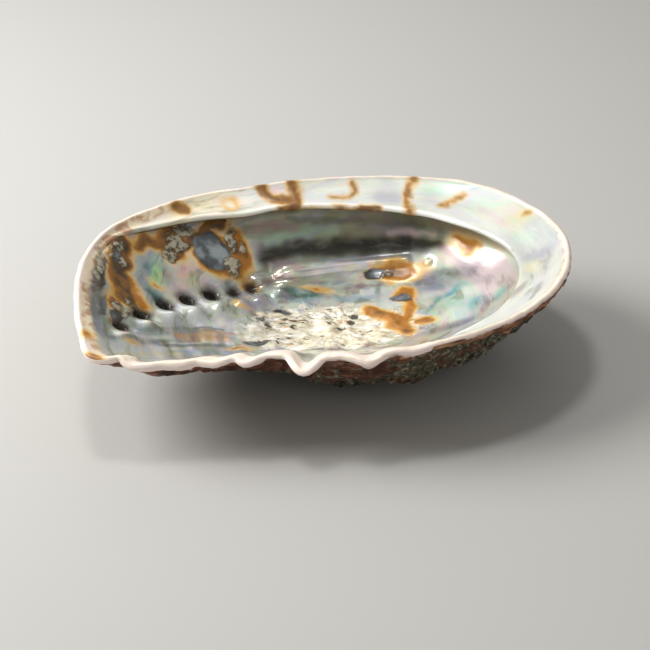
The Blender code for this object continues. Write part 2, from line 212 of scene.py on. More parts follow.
# Stains in the bowl, seen from above: middle, half length, half width, turn, how brown the core is
STAINS = (
    (27.4, 36, 11, 4.2, -4, 0.30), (25.5, 36.6, 8.4, 3.4, 0, 1), (29.8, 25, 4.6, 4, -50, 0.35),
    (20.8, 15.2, 4.4, 3, -20, 0.75), (26, 9, 6, 4.4, -60, 0.30), (29.8, 0.2, 3.4, 2.8, 0, 0.95),
    (37, 6.6, 3.8, 2.7, 0, 0.65), (53, 40, 6.8, 2.8, -40, 0.3), (-57, 30.4, 6.2, 6.8, 10, 0.7),
    (-41.8, 32, 8, 8, 25, 0.6), (-33.2, 35, 5.6, 7.8, 10, 0.35), (-35.4, 37.4, 3.4, 5, 10, 1.4),
    (-28.4, 26.4, 3, 1.8, 0, 1.3),
    (-31, 13, 1.6, 0.6, -20, 0.3), (-2.9, 27.6, 4.2, 0.8, -5, 0.9), (-66.4, -35.5, 2.2, 1, 0, 1.4),
    (-77.4, -57.4, 3.6, 3, 0, 0.7), (-80.1, -43.3, 2.2, 2.8, 0, 0.2),
    (-30.5, -15.6, 4.6, 1.4, 25, 1.6), (-61.8, 9.6, 2.2, 1.2, 0, 1.1), (-72, -24.6, 2.4, 1.8, 0, 1.6),
    (-74.6, -13, 2.4, 5, 10, 1.3),
)
# The same, as a line through the middle, half width, how brown
STAIN_STROKES = (
    (((-74.8, 21), (-74.6, 14), (-74, 6), (-72.4, -1), (-71.4, -6)), 4.6, 1.2),
    (((-70.6, 6), (-68.6, -1.5), (-65, -5.6)), 2.8, 0.22),
    (((-69, 23.5), (-65.6, 27.5), (-61, 28)), 2.4, 1.1),
    (((-56, 25.4), (-50.5, 33.5), (-44, 40.5), (-38, 45)), 2.2, 2.2),
    (((17, 17.4), (22, 14), (27, 7), (30, 0.5)), 3.4, 0.30),
    (((31.6, 22), (31.6, 15), (29, 9)), 2.2, 0.20),
)
# The same on the shelf, then its rings: middle, half length, half width
SHELF_STAINS = (
    (((-56, 42.4), (-53, 42.2)), 2.3, 0.8),
    (((-25.4, 58), (-23, 53.6), (-19.6, 51), (-13.6, 50.4)), 2.4, 0.6),
    (((-19, 49.8), (-12, 49.6)), 1.8, 0.6),
    (((-13, 58.4), (-10.8, 53.8), (-11.4, 49), (-13.4, 46.4)), 2.5, 0.6),
    (((-17, 45.8), (-5, 46.8), (6, 48.2), (20, 48.6)), 0.9, 1.5),
    (((10.4, 60), (11.4, 57.2), (9.6, 54.8), (6.6, 53.4), (2.4, 53.6)), 1, 0.6),
    (((33.8, 61.5), (31.8, 57), (31, 52), (32.6, 47)), 1.4, 0.5),
    (((44, 49.2), (48.7, 50.8), (52.4, 53)), 1, 0.4),
    (((74.6, 36.6), (76, 36)), 0.9, 0.6),
)
SHELF_RINGS = ((-35.4, 47.5, 2.8, 2.2), (-53.6, 42.6, 1.4, 1.2))
# Slate-blue bare patches, then cream crusts: middle, half length, half width, turn
SLATES = (
    (-42.4, 32.4, 6.4, 6.6, 25), (18.6, 35.8, 4.2, 2.5, -10), (28.6, 23.6, 4.2, 1.9, -15),
    (-72.6, -20.4, 2, 3.6, 0), (-68.6, -14.6, 2.2, 1.9, 20), (-75.6, 13.2, 1.9, 3.8, 0),
    (-79.4, -3.5, 1.1, 5.4, 0), (-77.4, -19, 1, 6, 0), (-24.4, -9, 4.6, 1.5, 12),
    (-16, 14.2, 3, 1.2, 10), (-56, 36, 1.6, 1, 0),
)
CRUSTS = (
    (-52.8, 36.6, 3.6, 1.5, 15), (-55, 31.6, 3.4, 2.4, 0), (-57.6, 26.4, 3.2, 2.5, 0),
    (-34.6, 30.4, 3, 2.6, 30), (-35.6, 38.6, 1.6, 3.6, 10), (-68.6, -8.8, 3.6, 1.2, -25),
    (-75.6, 18.4, 1.3, 2.2, 0), (-80.6, 2, 1.1, 6.4, 0), (-31.2, 37.4, 1.2, 1.6, 0),
    (22.8, 35, 2.2, 0.8, 20), (-73.4, -14, 1.3, 2.2, 0), (-70.6, -18.4, 0.9, 1.8, 0),
    (-73.8, 11.6, 0.7, 2.4, 0), (-77.6, 12.6, 0.6, 2.6, 0),
)
# The muscle scar, and soft tints of the pearl: middle, half length, half width, turn, colour, share
SCAR = (2.0, 3.0, 33.0, 16.0, 8)
TINTS = (
    # The first two washes: grey over the far wall, partly the pearl's own grey and partly painted
    # reflection of a dark room, and white over the right wall, a painted highlight where it mirrors the
    # softbox
    (5, 47, 46, 9, 4, "grey", 0.95), (62, 33, 17, 11, -35, "white", 0.8),
    (-64.8, 15, 5.6, 11, 0, "teal", 0.95), (-66, 12, 1.4, 7, 0, "lilac", 0.7),
    (-61, 14, 3.2, 8, 8, "mint", 0.9), (-60.4, 14, 2.2, 7, 8, "green", 0.8),
    (-57.6, 17, 1.2, 5, 0, "teal", 0.6),
    (-62.5, 23, 3, 3, 0, "mint", 0.6), (-61.6, 4, 2.4, 2, 0, "teal", 1),
    (-53.4, 18, 3.4, 9, -15, "rose", 1), (-48, 19, 4.6, 5, 0, "straw", 0.8),
    (-44, 22, 3, 4, 0, "rose", 0.7), (-79, -12, 4.6, 26, 0, "smoke", 0.85),
    (-75, -34, 6, 7, 0, "steel", 0.7), (-52, -24, 32, 11, -8, "steel", 0.70),
    (-55, -8, 14, 5, 0, "steel", 0.6), (-20, 27, 15, 5, 5, "grey", 0.7),
    (4, 32, 20, 3.6, 2, "grey", 0.7), (-28, 18, 10, 5, 0, "steel", 0.6),
    (-5, 25, 16, 3.4, 4, "teal", 0.95), (2, 29.6, 10, 1.4, 0, "teal", 0.8),
    (-10, 21.4, 10, 1.4, 6, "sky", 0.8), (16, 27.4, 9, 4.4, 0, "white", 0.7),
    (13, 24.4, 9, 1.6, 0, "sky", 0.8), (20.6, 27, 1.8, 5, 0, "teal", 0.8),
    (12, 31, 9, 1.2, 0, "lilac", 0.7), (50, 24, 16, 14, 0, "steel", 0.5),
    (46.5, 12.4, 8, 9, 0, "mint", 0.9), (47.6, 21.6, 7.4, 2.2, 8, "turquoise", 1),
    (56, 11, 2.8, 6.4, -20, "turquoise", 1), (63, 9, 4, 3, 20, "turquoise", 0.8),
    (40.6, 17, 1.4, 6, -25, "turquoise", 0.8), (47, 30, 12, 4, 0, "steel", 0.8),
    (58, 20, 8, 8, 0, "white", 0.6), (48, -1.6, 12, 3.4, 12, "lilac", 0.85),
    (38, 29.5, 4, 5, 0, "lilac", 0.7), (-22, 3, 12, 12, 0, "steel", 0.7),
    (12, -4, 24, 10, 4, "bone", 0.8), (8, 4, 16, 6, 0, "bone", 0.5),
    (60, 2, 8, 8, 30, "white", 0.4),
)
SHELF_TINTS = (
    (-52, 44, 26, 9, 20, "sand", 0.95), (52, 54, 22, 8, -15, "steel", 0.2),
    (-28, 53, 8, 4, 0, "white", 0.6),
    (4, 57, 20, 6, 0, "pearl", 0.6), (47, 57, 9, 3.4, 0, "mint", 0.8),
    (56, 58, 5, 3, 0, "turquoise", 0.7), (-18, 54.6, 3.4, 2.4, 0, "rose", 0.6),
    (24, 56, 6, 5, 0, "lilac", 0.5), (60, 47, 8, 5, -40, "mint", 0.3),
    (76, 14, 11, 32, 0, "steel", 0.45), (72, 34, 5, 6, 0, "straw", 0.7),
    (74, 24, 4, 5, 0, "mint", 0.7), (77, 12, 4, 6, 0, "lilac", 0.6),
    (76, 2, 4, 5, 0, "straw", 0.7), (70, -10, 6, 5, 0, "pearl", 0.5),
)
# Long streaks of colour that follow the form: a line through their middle, half width, colour, share
TINT_STROKES = (
    # Painted reflection: a dark band across the far wall, where it would mirror a dark room
    (((-23, 37), (-10, 42.2), (9, 44.8), (28, 45.4), (43, 45)), 3.3, "shade", 0.97),
    # Painted shade: a dark stroke on the wall just under the shelf's edge
    (((4, 46), (18, 46.8), (32, 46.4)), 1.6, "deep_shade_and_stain_core", 0.7),
    (((-22, 42), (-10, 46.6), (4, 49.4)), 1.6, "mint", 0.5),
    (((24, 49.6), (33, 49), (42, 47.4)), 0.8, "rose", 0.5),
    # Painted shade: a dark stroke in the hollow under the shelf's edge
    (((-14, 49.6), (4, 52), (20, 52.4), (38, 50.4)), 1, "smoke", 0.45),
    (((50, 47), (60, 40), (66, 31)), 1.6, "peach", 0.35),
    (((-20, 35.4), (-2, 39.6), (17, 41.6), (30, 41.8)), 0.9, "steel", 0.7),
    # Painted highlight: a white line along the crest of the spiral fold
    (((-16.5, 32.4), (-9.7, 34.8), (-2.2, 37.2), (6.9, 38.9), (19, 40)), 0.75, "white", 0.95),
    (((-69, -46.5), (-60, -38), (-50.6, -30.4)), 1, "straw", 0.8),
    (((-50.6, -28.6), (-40, -22), (-30, -17.6)), 1.3, "sky", 0.8),
    (((-69, -41), (-57.5, -30.6), (-47, -23)), 1.7, "pearl", 0.85),
    (((-57, -28.6), (-47, -20), (-37.6, -15)), 1.5, "steel", 0.95),
    (((-57, -26.6), (-50, -20.6), (-44, -17)), 0.6, "white", 0.7),
    (((-73, -38), (-64, -31.6), (-56, -24.6)), 1.5, "slate", 0.6),
    (((-72, -33), (-64.6, -26.4), (-55, -20)), 1.6, "pearl", 0.85),
    (((-64, -24), (-55, -16), (-46, -10)), 2.2, "steel", 0.9),
    (((-60, -18), (-50, -9.6), (-40, -5.6)), 1, "grey", 0.8),
    (((-52, -16.4), (-44, -11.4), (-36, -8.6)), 2.2, "peach", 0.85),
    (((-50, -19), (-42, -13.4), (-34, -11)), 1, "peach", 0.6),
    (((-43, -7.6), (-36, -5.4), (-30, -4)), 0.9, "peach", 0.7),
    (((-46.4, -7), (-42, -4.6), (-37, -4)), 0.5, "shade", 0.7),
    (((34, 48.6), (42, 46.8), (49, 44)), 1.4, "straw", 0.4),
    (((-54, -8), (-46, -2), (-38, 1)), 1.2, "pearl", 0.7),
    (((-34, 6), (-26, 10.6), (-16, 12.6)), 1, "straw", 0.7),
)
# Dark pits in the scar: middle and half width
SCAR_PIT_STRETCH = 1.4
SCAR_PITS = (
    (10.4, 13.8, 1.5), (8.9, 9.5, 0.9), (5.9, 6.1, 0.9), (-9.5, 12.4, 0.8), (-23.4, 8.3, 1.2),
    (-20, 6, 0.9), (-26, 10.5, 0.8), (-15, 9, 0.8), (1, 8, 0.7), (-12, 5, 0.7),
    (13, 4.5, 0.6),
)
# Where fine pale threads follow the layers of the pearl
SILKS = (
    (14, 26, 16, 5, 0), (40, -1, 12, 5, 0),
)
# Width of the pale lip and of the tan band behind it: angle, then inside and outside the crest
LIP_BAND = (
    (0, 2.4, 0.8), (45, 1.6, 0.6), (100, 1, 0.4), (150, 1.6, 0.8), (180, 2.6, 1.5),
    (205, 2.8, 2), (222, 5.6, 2.4), (250, 7, 2.6), (280, 7, 2.4), (300, 5, 1.6),
    (330, 2.8, 0.8),
)
TAN_BAND = (
    (0, 2.6, 6.5), (45, 1.2, 2.5), (100, 0.6, 1.2), (135, 1.2, 1.6), (150, 5, 2), (165, 8, 3),
    (180, 6.2, 3.5), (205, 6.4, 3.2), (222, 7.4, 3), (240, 7.6, 2.8), (265, 7.6, 2.8),
    (300, 6.4, 4.5), (330, 3.6, 7),
)
# How much wider both bands are at a tooth, how much of that is lost between teeth, and where they start
TOOTH_BAND = 3.4
VALLEY_SHARE = 0.55
VALLEY_START = (222.0, 226.0)
VALLEY_END = (306.0, 318.0)
# The spiral fold inside that the closed holes left
FOLD_PATH = ((-27.0, 28.5), (-15.8, 32.4), (5.4, 38.0), (18.3, 40.0), (31.0, 40.5))
FOLD_RISE = 1.4
FOLD_HALF_WIDTH = 1.4
# Painted highlights: white spots on the humps below the holes
HUMP_HIGHLIGHT_SHARE = 0.95
HUMP_HIGHLIGHT_SIZE = HUMP_SIZE * 1.25
# Heights of the finest forms inside
BROAD_WAVES = 0.10
SCAR_SMALL = 0.30
SCAR_TINY = 0.16
PIT_SINK = 0.5
CRUST_LIFT = 0.30
CRUST_SMALL = 0.22
CRUST_TINY = 0.12
STAIN_LIFT = 0.35
SLATE_SINK = 0.25
RIPPLE = 0.03
NEAR_LEFT_RIPPLE = 0.11
NEAR_LEFT_X = (-25.0, 0.0)
NEAR_LEFT_Y = (-14.0, 4.0)
CALM_RIM = (-9.0, 0.0)
CALM_RIM_SHARE = 0.6
# Heights of the finest forms outside, how many growth lines there are, and the chips of the rim
GROWTH_LINES = 26.0
GROWTH_LINE_HEIGHT = 0.30
OUTER_SMALL = 0.22
OUTER_TINY = 0.16
LAYER_HEIGHT = 0.30
NEAR_LIP_Y = (-30.0, 10.0)
CHIP_HEIGHT = 0.12
NEAR_CHIP_HEIGHT = 0.14
CHIP_REACH = 3.0
# Sizes of the lumps that the finest forms are made of
SMALL_LUMP = 2.6
TINY_LUMP = 1.2
BROAD_LUMP = 9.0
RIPPLE_LUMP = 2.6
LAYER_LUMP = 2.2
CRUST_LUMP = 4.0
CHIP_LUMP = 6.0
NEAR_CHIP_LUMP = 2.4
# How high the crust outside stands: its small lumps, then its larger ones
OUTER_CRUST = (0.45, 0.35)
LINE_WANDER = 0.35
# A depth far outside every mark, and how deep a stain is before its core begins
NO_MARK = -20.0
CORE_START = 1.2
SHELF_CORE_START = 0.5
RING_HALF_WIDTH = 0.2
# A highlight painted along the shelf's inner edge and shade painted in a line under it: row, shift
# along the section, half width
EDGE_HIGHLIGHT_BAND = (FLOOR_ROWS + UNDERSIDE_ROWS + EDGE_ROWS - 2, 0.0, 1.5)
UNDER_SHADE_BAND = (FLOOR_ROWS + UNDERSIDE_ROWS + 3, -0.3, 1.2)
# The edge's painted highlight grows from the left and fades at the right, in x
EDGE_HIGHLIGHT_GROWS = (-46.0, -14.0)
EDGE_HIGHLIGHT_FADES = (45.0, 62.0)
EDGE_HIGHLIGHT_FADE_SHARE = 0.8
# The far wall, where the pearl is even: where it starts in y and in x
CALM_Y = (30.0, 38.0)
CALM_X = (-32.0, -22.0)
# Where crust grows outside: to the right, measured on a slant, and low down
CRUSTED_RIGHT = (10.0, 60.0)
CRUSTED_SLANT = 0.35
CRUSTED_HEIGHT = (6.0, 22.0)
# How far the edges of the marks wander, in broad and in fine waves, and how long those waves are
BOWL_WANDER = (0.8, 0.12)
SHELF_WANDER = (0.5, 0.25)
WAVE_SIZE = 5.0
FINE_WAVE_SIZE = 1.8
# How far other edges wander, and the length of their waves
SCAR_WANDER = (1.5, 14.0)
SCAR_RAGGED = 2.5
CRUSTED_WANDER = (0.35, 18.0)
TINT_WANDER = (1.5, 7.0)
STROKE_WANDER = (0.35, 4.0)
# How full the shelf is where its own marks take over from the bowl's
SHELF_BEGINS = 0.3
# The pearl's layers: the pattern's size round the shell, and from the well to the crest
STREAM_RING = 12.0
CREST_LAYER = 70.0

# The studio, in metres: name, place and width of each softbox, where they aim, and the floor
SOFTBOXES = (
    ("key", (-0.60, 0.12, 0.51), 0.50), ("back", (-0.12, 0.80, 0.50), 0.60),
    ("top", (-0.12, 0.14, 0.80), 0.14), ("fill", (0.35, -0.80, 0.55), 0.60),
)
LIGHT_AIM = (0.0, 0.0, 0.02)
ROOM_COLOUR = (1.0, 0.985, 0.96, 1.0)
FLOOR_SIZE = 6.0
FLOOR_GAP = 0.0003
FLOOR_CLOUD = 60.0
FLOOR_CLOUD_SHARE = 0.04
FLOOR_GREY = (0.6, 0.6, 0.6)
SENSOR_WIDTH = 36.0
# The least share by which the shell is stretched to a length that the user gave
LEAST_STRETCH = 0.01


def srgb(red, green, blue):
    """A paint colour given as three bytes, in the linear values that materials use."""
    return tuple(
        value / 12.92 if value <= 0.04045 else ((value + 0.055) / 1.055) ** 2.4
        for value in (red / 255, green / 255, blue / 255)
    )


def colour_property(name, description, value):
    """A colour that the user can change, given as three bytes."""
    return FloatVectorProperty(
        name=name, description=description, default=srgb(*value), subtype="COLOR", min=0.0, max=1.0
    )


def length_property(name, description, millimetres):
    """A length that the user can change, given in millimetres."""
    return FloatProperty(
        name=name, description=description, default=millimetres * MM, min=0.0, unit="LENGTH"
    )


def power_property(name, description, watts):
    """The power of a light that the user can change."""
    return FloatProperty(name=name, description=description, default=watts, min=0.0, unit="POWER")


class AbaloneSizes(PropertyGroup):
    """The shell's sizes"""

    length: FloatProperty(
        name="Length", description="From the growing lip to the spire end",
        default=CAD_BOX[1].x - CAD_BOX[0].x, min=0.02, max=0.5, unit="LENGTH",
    )
    columns: IntProperty(
        name="Columns", description="How many columns of faces go round the shell",
        default=448, min=64, max=448,
    )
    well: length_property("Well height", "Height of the bowl's lowest point", 8.0)
    lip: length_property("Lip thickness", "Thickness of the growing lip", 2.4)
    bottom: length_property("Bottom thickness", "Thickness under the well", 8.8)
    shelf_edge: length_property("Shelf edge", "Thickness of the shelf's inner edge", 2.4)
    ledge: length_property("Ledges", "Height of the growth ledges outside", 1.6)
    fold: length_property("Folds", "Height of the folds outside", 0.7)
    lump: length_property("Lumps", "Height of the lumps outside", 1.3)
    pit: length_property("Pits", "Depth of the pits round the holes", 2.2)
    pit_width: length_property("Pit width", "Half width of the pits round the holes", 3.8)
    hole_length: length_property("Hole length", "Length of an open hole", 5.6)
    hole_width: length_property("Hole width", "Width of an open hole", 4.4)


class AbaloneFinish(PropertyGroup):
    """The shell's colours"""

    pearl: colour_property("Pearl", "Mother-of-pearl", (230, 228, 218))
    cream: colour_property("Cream", "Warm pearl and crusts", (248, 232, 208))
    rose: colour_property("Rose", "Pink pearl", (248, 216, 212))
    lilac: colour_property("Lilac", "Violet-grey pearl", (164, 156, 174))
    mint: colour_property("Mint", "Pale green pearl", (196, 226, 204))
    green: colour_property("Green", "Bright green streak", (218, 244, 176))
    teal: colour_property("Teal", "Dark blue-green pearl", (82, 128, 126))
    sky: colour_property("Sky", "Pale blue pearl", (164, 186, 204))
    turquoise: colour_property("Turquoise", "Bright blue-green pearl", (84, 172, 174))
    # White is also painted highlight along the shelf's inner edge, on the humps below the holes, on the
    # fold's crest and on the right wall
    white: colour_property("White", "Brightest pearl", (252, 250, 244))
    # Shade is painted reflection in the far wall's dark band and painted shade in a line under the
    # shelf's edge, and also the real colour of dark pits, blotches and a thin dark line
    shade: colour_property("Shade", "Dark band of the far wall and pits", (52, 50, 41))
    steel: colour_property("Steel", "Silver-blue pearl", (146, 153, 156))
    # Grey over the far wall is partly painted reflection of a dark room
    grey: colour_property("Grey", "Grey pearl of the far wall", (152, 147, 128))
    # Smoke is also painted shade in a stroke under the shelf's edge and on the walls of the holes
    smoke: colour_property("Smoke", "Dark grey pearl", (88, 82, 70))
    sand: colour_property("Sand", "Beige of the old shelf", (248, 230, 196))
    straw: colour_property("Straw", "Yellowish pearl", (226, 216, 174))
    peach: colour_property("Peach", "Orange-pink streak", (216, 164, 114))
    gold: colour_property("Gold", "Thin edge of a stain", (232, 180, 84))
    amber: colour_property("Amber", "Body of a stain", (190, 120, 16))
    umber: colour_property("Umber", "Core of a stain", (88, 60, 16))
    slate: colour_property("Slate", "Blue-grey bare patches", (84, 88, 90))
    chalk: colour_property("Chalk", "Chalky crust", (170, 164, 142))
    bone: colour_property("Bone", "White muscle scar", (240, 230, 206))
    # Soot is painted shade in and round the holes, on their walls and just under the shelf's edge, and
    # the real dark core of the stains
    deep_shade_and_stain_core: colour_property("Soot", "Dark throats of the holes", (42, 34, 24))
    lip: colour_property("Lip", "Growing lip", (255, 236, 226))
    tan: colour_property("Tan", "Brown-pink band behind the lip", (198, 150, 112))
    brick: colour_property("Brick", "Red-brown back", (114, 64, 44))
    bark: colour_property("Bark", "Dark brown lines of the back", (50, 34, 26))
    shell_pink: colour_property("Shell pink", "Pale bands of the back", (170, 128, 104))
    moss: colour_property("Moss", "Grey-green crust of the back", (88, 85, 68))
    ash: colour_property("Ash", "Pale specks of the back", (150, 145, 126))


class AbaloneStudio(PropertyGroup):
    """The camera, the lights and the floor"""

    distance: FloatProperty(
        name="Distance", description="From the camera to its aim",
        default=0.70, min=0.2, unit="LENGTH",
    )
    elevation: FloatProperty(
        name="Elevation", description="The camera's angle above the floor",
        default=math.radians(30.5), subtype="ANGLE",
    )
    view_width: FloatProperty(
        name="View width", description="Width seen at the aim",
        default=0.245, min=0.05, unit="LENGTH",
    )
    aim: FloatVectorProperty(
        name="Aim", description="Point the camera looks at",
        default=(-0.0003, 0.0224, 0.0), subtype="XYZ",
    )
    key_power: power_property("Key light", "Power of the large softbox at the left", 7.4)
    back_power: power_property("Back light", "Power of the softbox behind", 0.7)
    top_power: power_property("Top light", "Power of the small light above", 1.5)
    fill_power: power_property("Fill light", "Power of the softbox in front", 0.7)
    surroundings: FloatProperty(
        name="Surroundings", description="Brightness of the room", default=0.27, min=0.0
    )
    floor: colour_property("Floor", "Plain pale floor", (190, 188, 183))


def smoothstep(low, high, value):
    """0 below low, 1 above high, and an even rise between them."""
    t = np.clip((value - low) / (high - low), 0.0, 1.0)
    return t * t * (3.0 - 2.0 * t)


def around(knots, column, angles):
    """One column of a table, carried smoothly all round the shell to the given angles."""
    at = np.array([knot[0] for knot in knots], float)
    value = np.array([knot[column] for knot in knots], float)
    at = np.concatenate((at - 360.0, at, at + 360.0))
    value = np.tile(value, 3)
    slope = np.gradient(value, at)
    index = np.searchsorted(at, angles, side="right") - 1
    span = at[index + 1] - at[index]
    t = (angles - at[index]) / span
    start = (2 * t**3 - 3 * t**2 + 1) * value[index] + (t**3 - 2 * t**2 + t) * span * slope[index]
    end = (3 * t**2 - 2 * t**3) * value[index + 1] + (t**3 - t**2) * span * slope[index + 1]
    return start + end


def turn_between(angles, centre):
    """Signed angle from a direction, between -180 and 180 degrees."""
    return (angles - centre + 180.0) % 360.0 - 180.0


def lip_reach(angles):
    """How far the points and the notch of the lip stand beyond the even rim."""
    reach = np.zeros_like(angles)
    for angle, height, half_width in TEETH:
        reach += height * np.exp(-(turn_between(angles, angle) / half_width) ** 2)
    reach -= NOTCH_DEPTH * np.exp(-(turn_between(angles, NOTCH_ANGLE) / NOTCH_HALF_WIDTH) ** 2)
    return reach


def bowl(size, angles, reach):
    """Points on the inside of the bowl; reach is 0 in the well and 1 at the rim."""
    power = 2.0 + (around(STEEPNESS, 1, angles) - 2.0) * smoothstep(0.0, WELL_REACH, reach)
    soft = WELL_SOFTNESS
    low = soft**power
    rise = ((reach**2 + soft**2) ** (power / 2) - low) / ((1 + soft**2) ** (power / 2) - low)
    scallop = lip_reach(angles) * smoothstep(SCALLOP_REACH, 1.0, reach)
    radius = reach * (around(RIM, 1, angles) - size.lip) + scallop
    direction = np.radians(angles)
    x = WELL[0] * (1 - reach) + radius * np.cos(direction)
    y = WELL[1] * (1 - reach) + radius * np.sin(direction)
    z = size.well + (around(RIM, 2, angles) - size.well) * rise - TOOTH_DROOP * scallop
    flat = np.clip((reach - FLARE_START) / (1.0 - FLARE_START), 0.0, 1.0)
    z += np.maximum(around(FLARE, 1, angles), 0.0) * FLARE_SCALE * flat**2 * (1.0 - flat)
    return np.stack((x, y, z), axis=-1)


def unit(vectors):
    """The same directions, one unit long."""
    return vectors / np.maximum(np.linalg.norm(vectors, axis=-1, keepdims=True), 1e-9)


def bowl_normal(size, angles, reach):
    """The direction out of the bowl through its wall."""
    step_round = 0.5
    step_out = 0.01
    reach = np.maximum(reach, LEAST_REACH)
    along = bowl(size, angles + step_round, reach) - bowl(size, angles - step_round, reach)
    out = bowl(size, angles, reach + step_out) - bowl(size, angles, reach - step_out)
    return unit(np.cross(along, out))


def bump(points, centre, size):
    """A round swelling, 1 at its centre, seen from above."""
    dx = points[..., 0] - centre[0]
    dy = points[..., 1] - centre[1]
    return np.exp(-(dx**2 + dy**2) / size**2)


def growth_place(angle):
    """Plan position on the growth line at an angle about the spire."""
    radius = float(around(GROWTH_LINE, 1, np.array([angle]))[0])
    direction = math.radians(angle)
    return (SPIRE[0] + radius * math.cos(direction), SPIRE[1] + radius * math.sin(direction))


def growth_distance(points):
    """Distance across the growth line, and the angle about the spire."""
    dx = points[..., 0] - SPIRE[0]
    dy = points[..., 1] - SPIRE[1]
    angle = np.degrees(np.arctan2(dy, dx)) % 360.0
    return (np.hypot(dx, dy) - around(GROWTH_LINE, 1, angle)) * GROWTH_LINE_SLANT, angle


def lumps(points, size, seed):
    """Smooth lumps between about -1 and 1, with no random draw in them."""
    shift = Vector([seed * part for part in SEED_SHIFT])
    flat = points.reshape(-1, 3) / size
    values = [noise.noise(Vector(point) + shift) for point in flat.tolist()]
    return 2.0 * np.array(values).reshape(points.shape[:-1])


def inside_relief(size, points):
    """Height of the scar, blisters, sealed holes and humps above the bowl."""
    scar = ((points[..., 0] - SCAR_MIDDLE[0]) / SCAR_SIZE[0]) ** 2
    scar = np.exp(-(scar + ((points[..., 1] - SCAR_MIDDLE[1]) / SCAR_SIZE[1]) ** 2) ** 2)
    height = SCAR_HEIGHT * scar * (SCAR_SWELL + lumps(points, SCAR_GRAIN, 1))
    for x, y, width, rise in BLISTERS:
        height += rise * bump(points, (x, y), width)
    for angle in OPEN_HOLES + CLOSED_HOLES[:3]:
        x, y = growth_place(angle)
        height -= size.pit * bump(points, (x, y), size.pit_width)
        hump = (x + HUMP_OFFSET[0], y + HUMP_OFFSET[1])
        height += HUMP_HEIGHT * bump(points, hump, HUMP_SIZE)
    return height


def growth_share(points):
    """How far out a point had grown: 0 at the spire and 1 at today's rim."""
    angles = np.arange(0.0, 360.0, 2.0)
    radius = around(RIM, 1, angles)
    dx = radius * np.cos(np.radians(angles)) - SPIRE[0]
    dy = radius * np.sin(np.radians(angles)) - SPIRE[1]
    rim_angle = np.degrees(np.arctan2(dy, dx)) % 360.0
    order = np.argsort(rim_angle)
    dx_point = points[..., 0] - SPIRE[0]
    dy_point = points[..., 1] - SPIRE[1]
    angle = np.degrees(np.arctan2(dy_point, dx_point)) % 360.0
    to_rim = np.interp(angle, rim_angle[order], np.hypot(dx, dy)[order], period=360.0)
    return np.hypot(dx_point, dy_point) / to_rim


def outside_relief(size, points, reach):
    """Height of the ledges, folds, ridge, spire and lumps on the outside."""
    across, angle = growth_distance(points)
    grown = growth_share(points)
    steps = grown * LEDGE_COUNT + LEDGE_WANDER[0] * lumps(points, LEDGE_WANDER[1], 2)
    height = size.ledge * (steps % 1.0) ** 2 * smoothstep(*LEDGE_GROWN, grown)
    wander = FOLD_WANDER[0] * lumps(points, FOLD_WANDER[1], 4)
    fold = np.sin(np.radians(angle) * FOLD_COUNT + wander)
    height += size.fold * fold * smoothstep(*FOLD_GROWN, grown)
    height += size.lump * lumps(points, LUMP_SIZE, 3)
    height *= smoothstep(*RELIEF_REACH, reach)
    ridge = np.exp(-(across / HOLE_RIDGE_WIDTH) ** 2) * smoothstep(*HOLE_RIDGE_START, angle)
    ridge *= 1.0 - smoothstep(*HOLE_RIDGE_END, angle)
    height += HOLE_RIDGE_HEIGHT * ridge
    for place in OPEN_HOLES + CLOSED_HOLES:
        height += TUBERCLE_HEIGHT * bump(points, growth_place(place), TUBERCLE_WIDTH)
    spire = bump(points, SPIRE, SPIRE_WIDTH)
    distance = np.hypot(points[..., 0] - SPIRE[0], points[..., 1] - SPIRE[1])
    whorl = np.radians(angle) - np.log(np.maximum(distance, 1.0)) * SUTURE_TIGHTNESS
    suture = np.exp(-(np.sin(whorl / 2) * SUTURE_SHARPNESS) ** 2)
    height += SPIRE_HEIGHT * spire - SUTURE_DEPTH * spire * suture
    return height * smoothstep(0.0, RELIEF_LIP_REACH, 1.0 + RELIEF_PAST_LIP - reach)


def floor_rows(size, angles, last_reach):
    """The inside of the bowl, from the well to the foot of the shelf."""
    rows = []
    for row in range(FLOOR_ROWS + 1):
        share = row / FLOOR_ROWS
        reach = np.maximum(last_reach * (1 - (1 - share) ** FLOOR_ROW_SPREAD), 0.0)
        points = bowl(size, angles, reach)
        fading = 1 - smoothstep(INSIDE_RELIEF_END, 1.0, reach)
        lift = inside_relief(size, points) * fading * (row > 0)
        rows.append(points - bowl_normal(size, angles, reach) * lift[:, None])
    rows[0][:] = rows[0].mean(axis=0)
    return rows


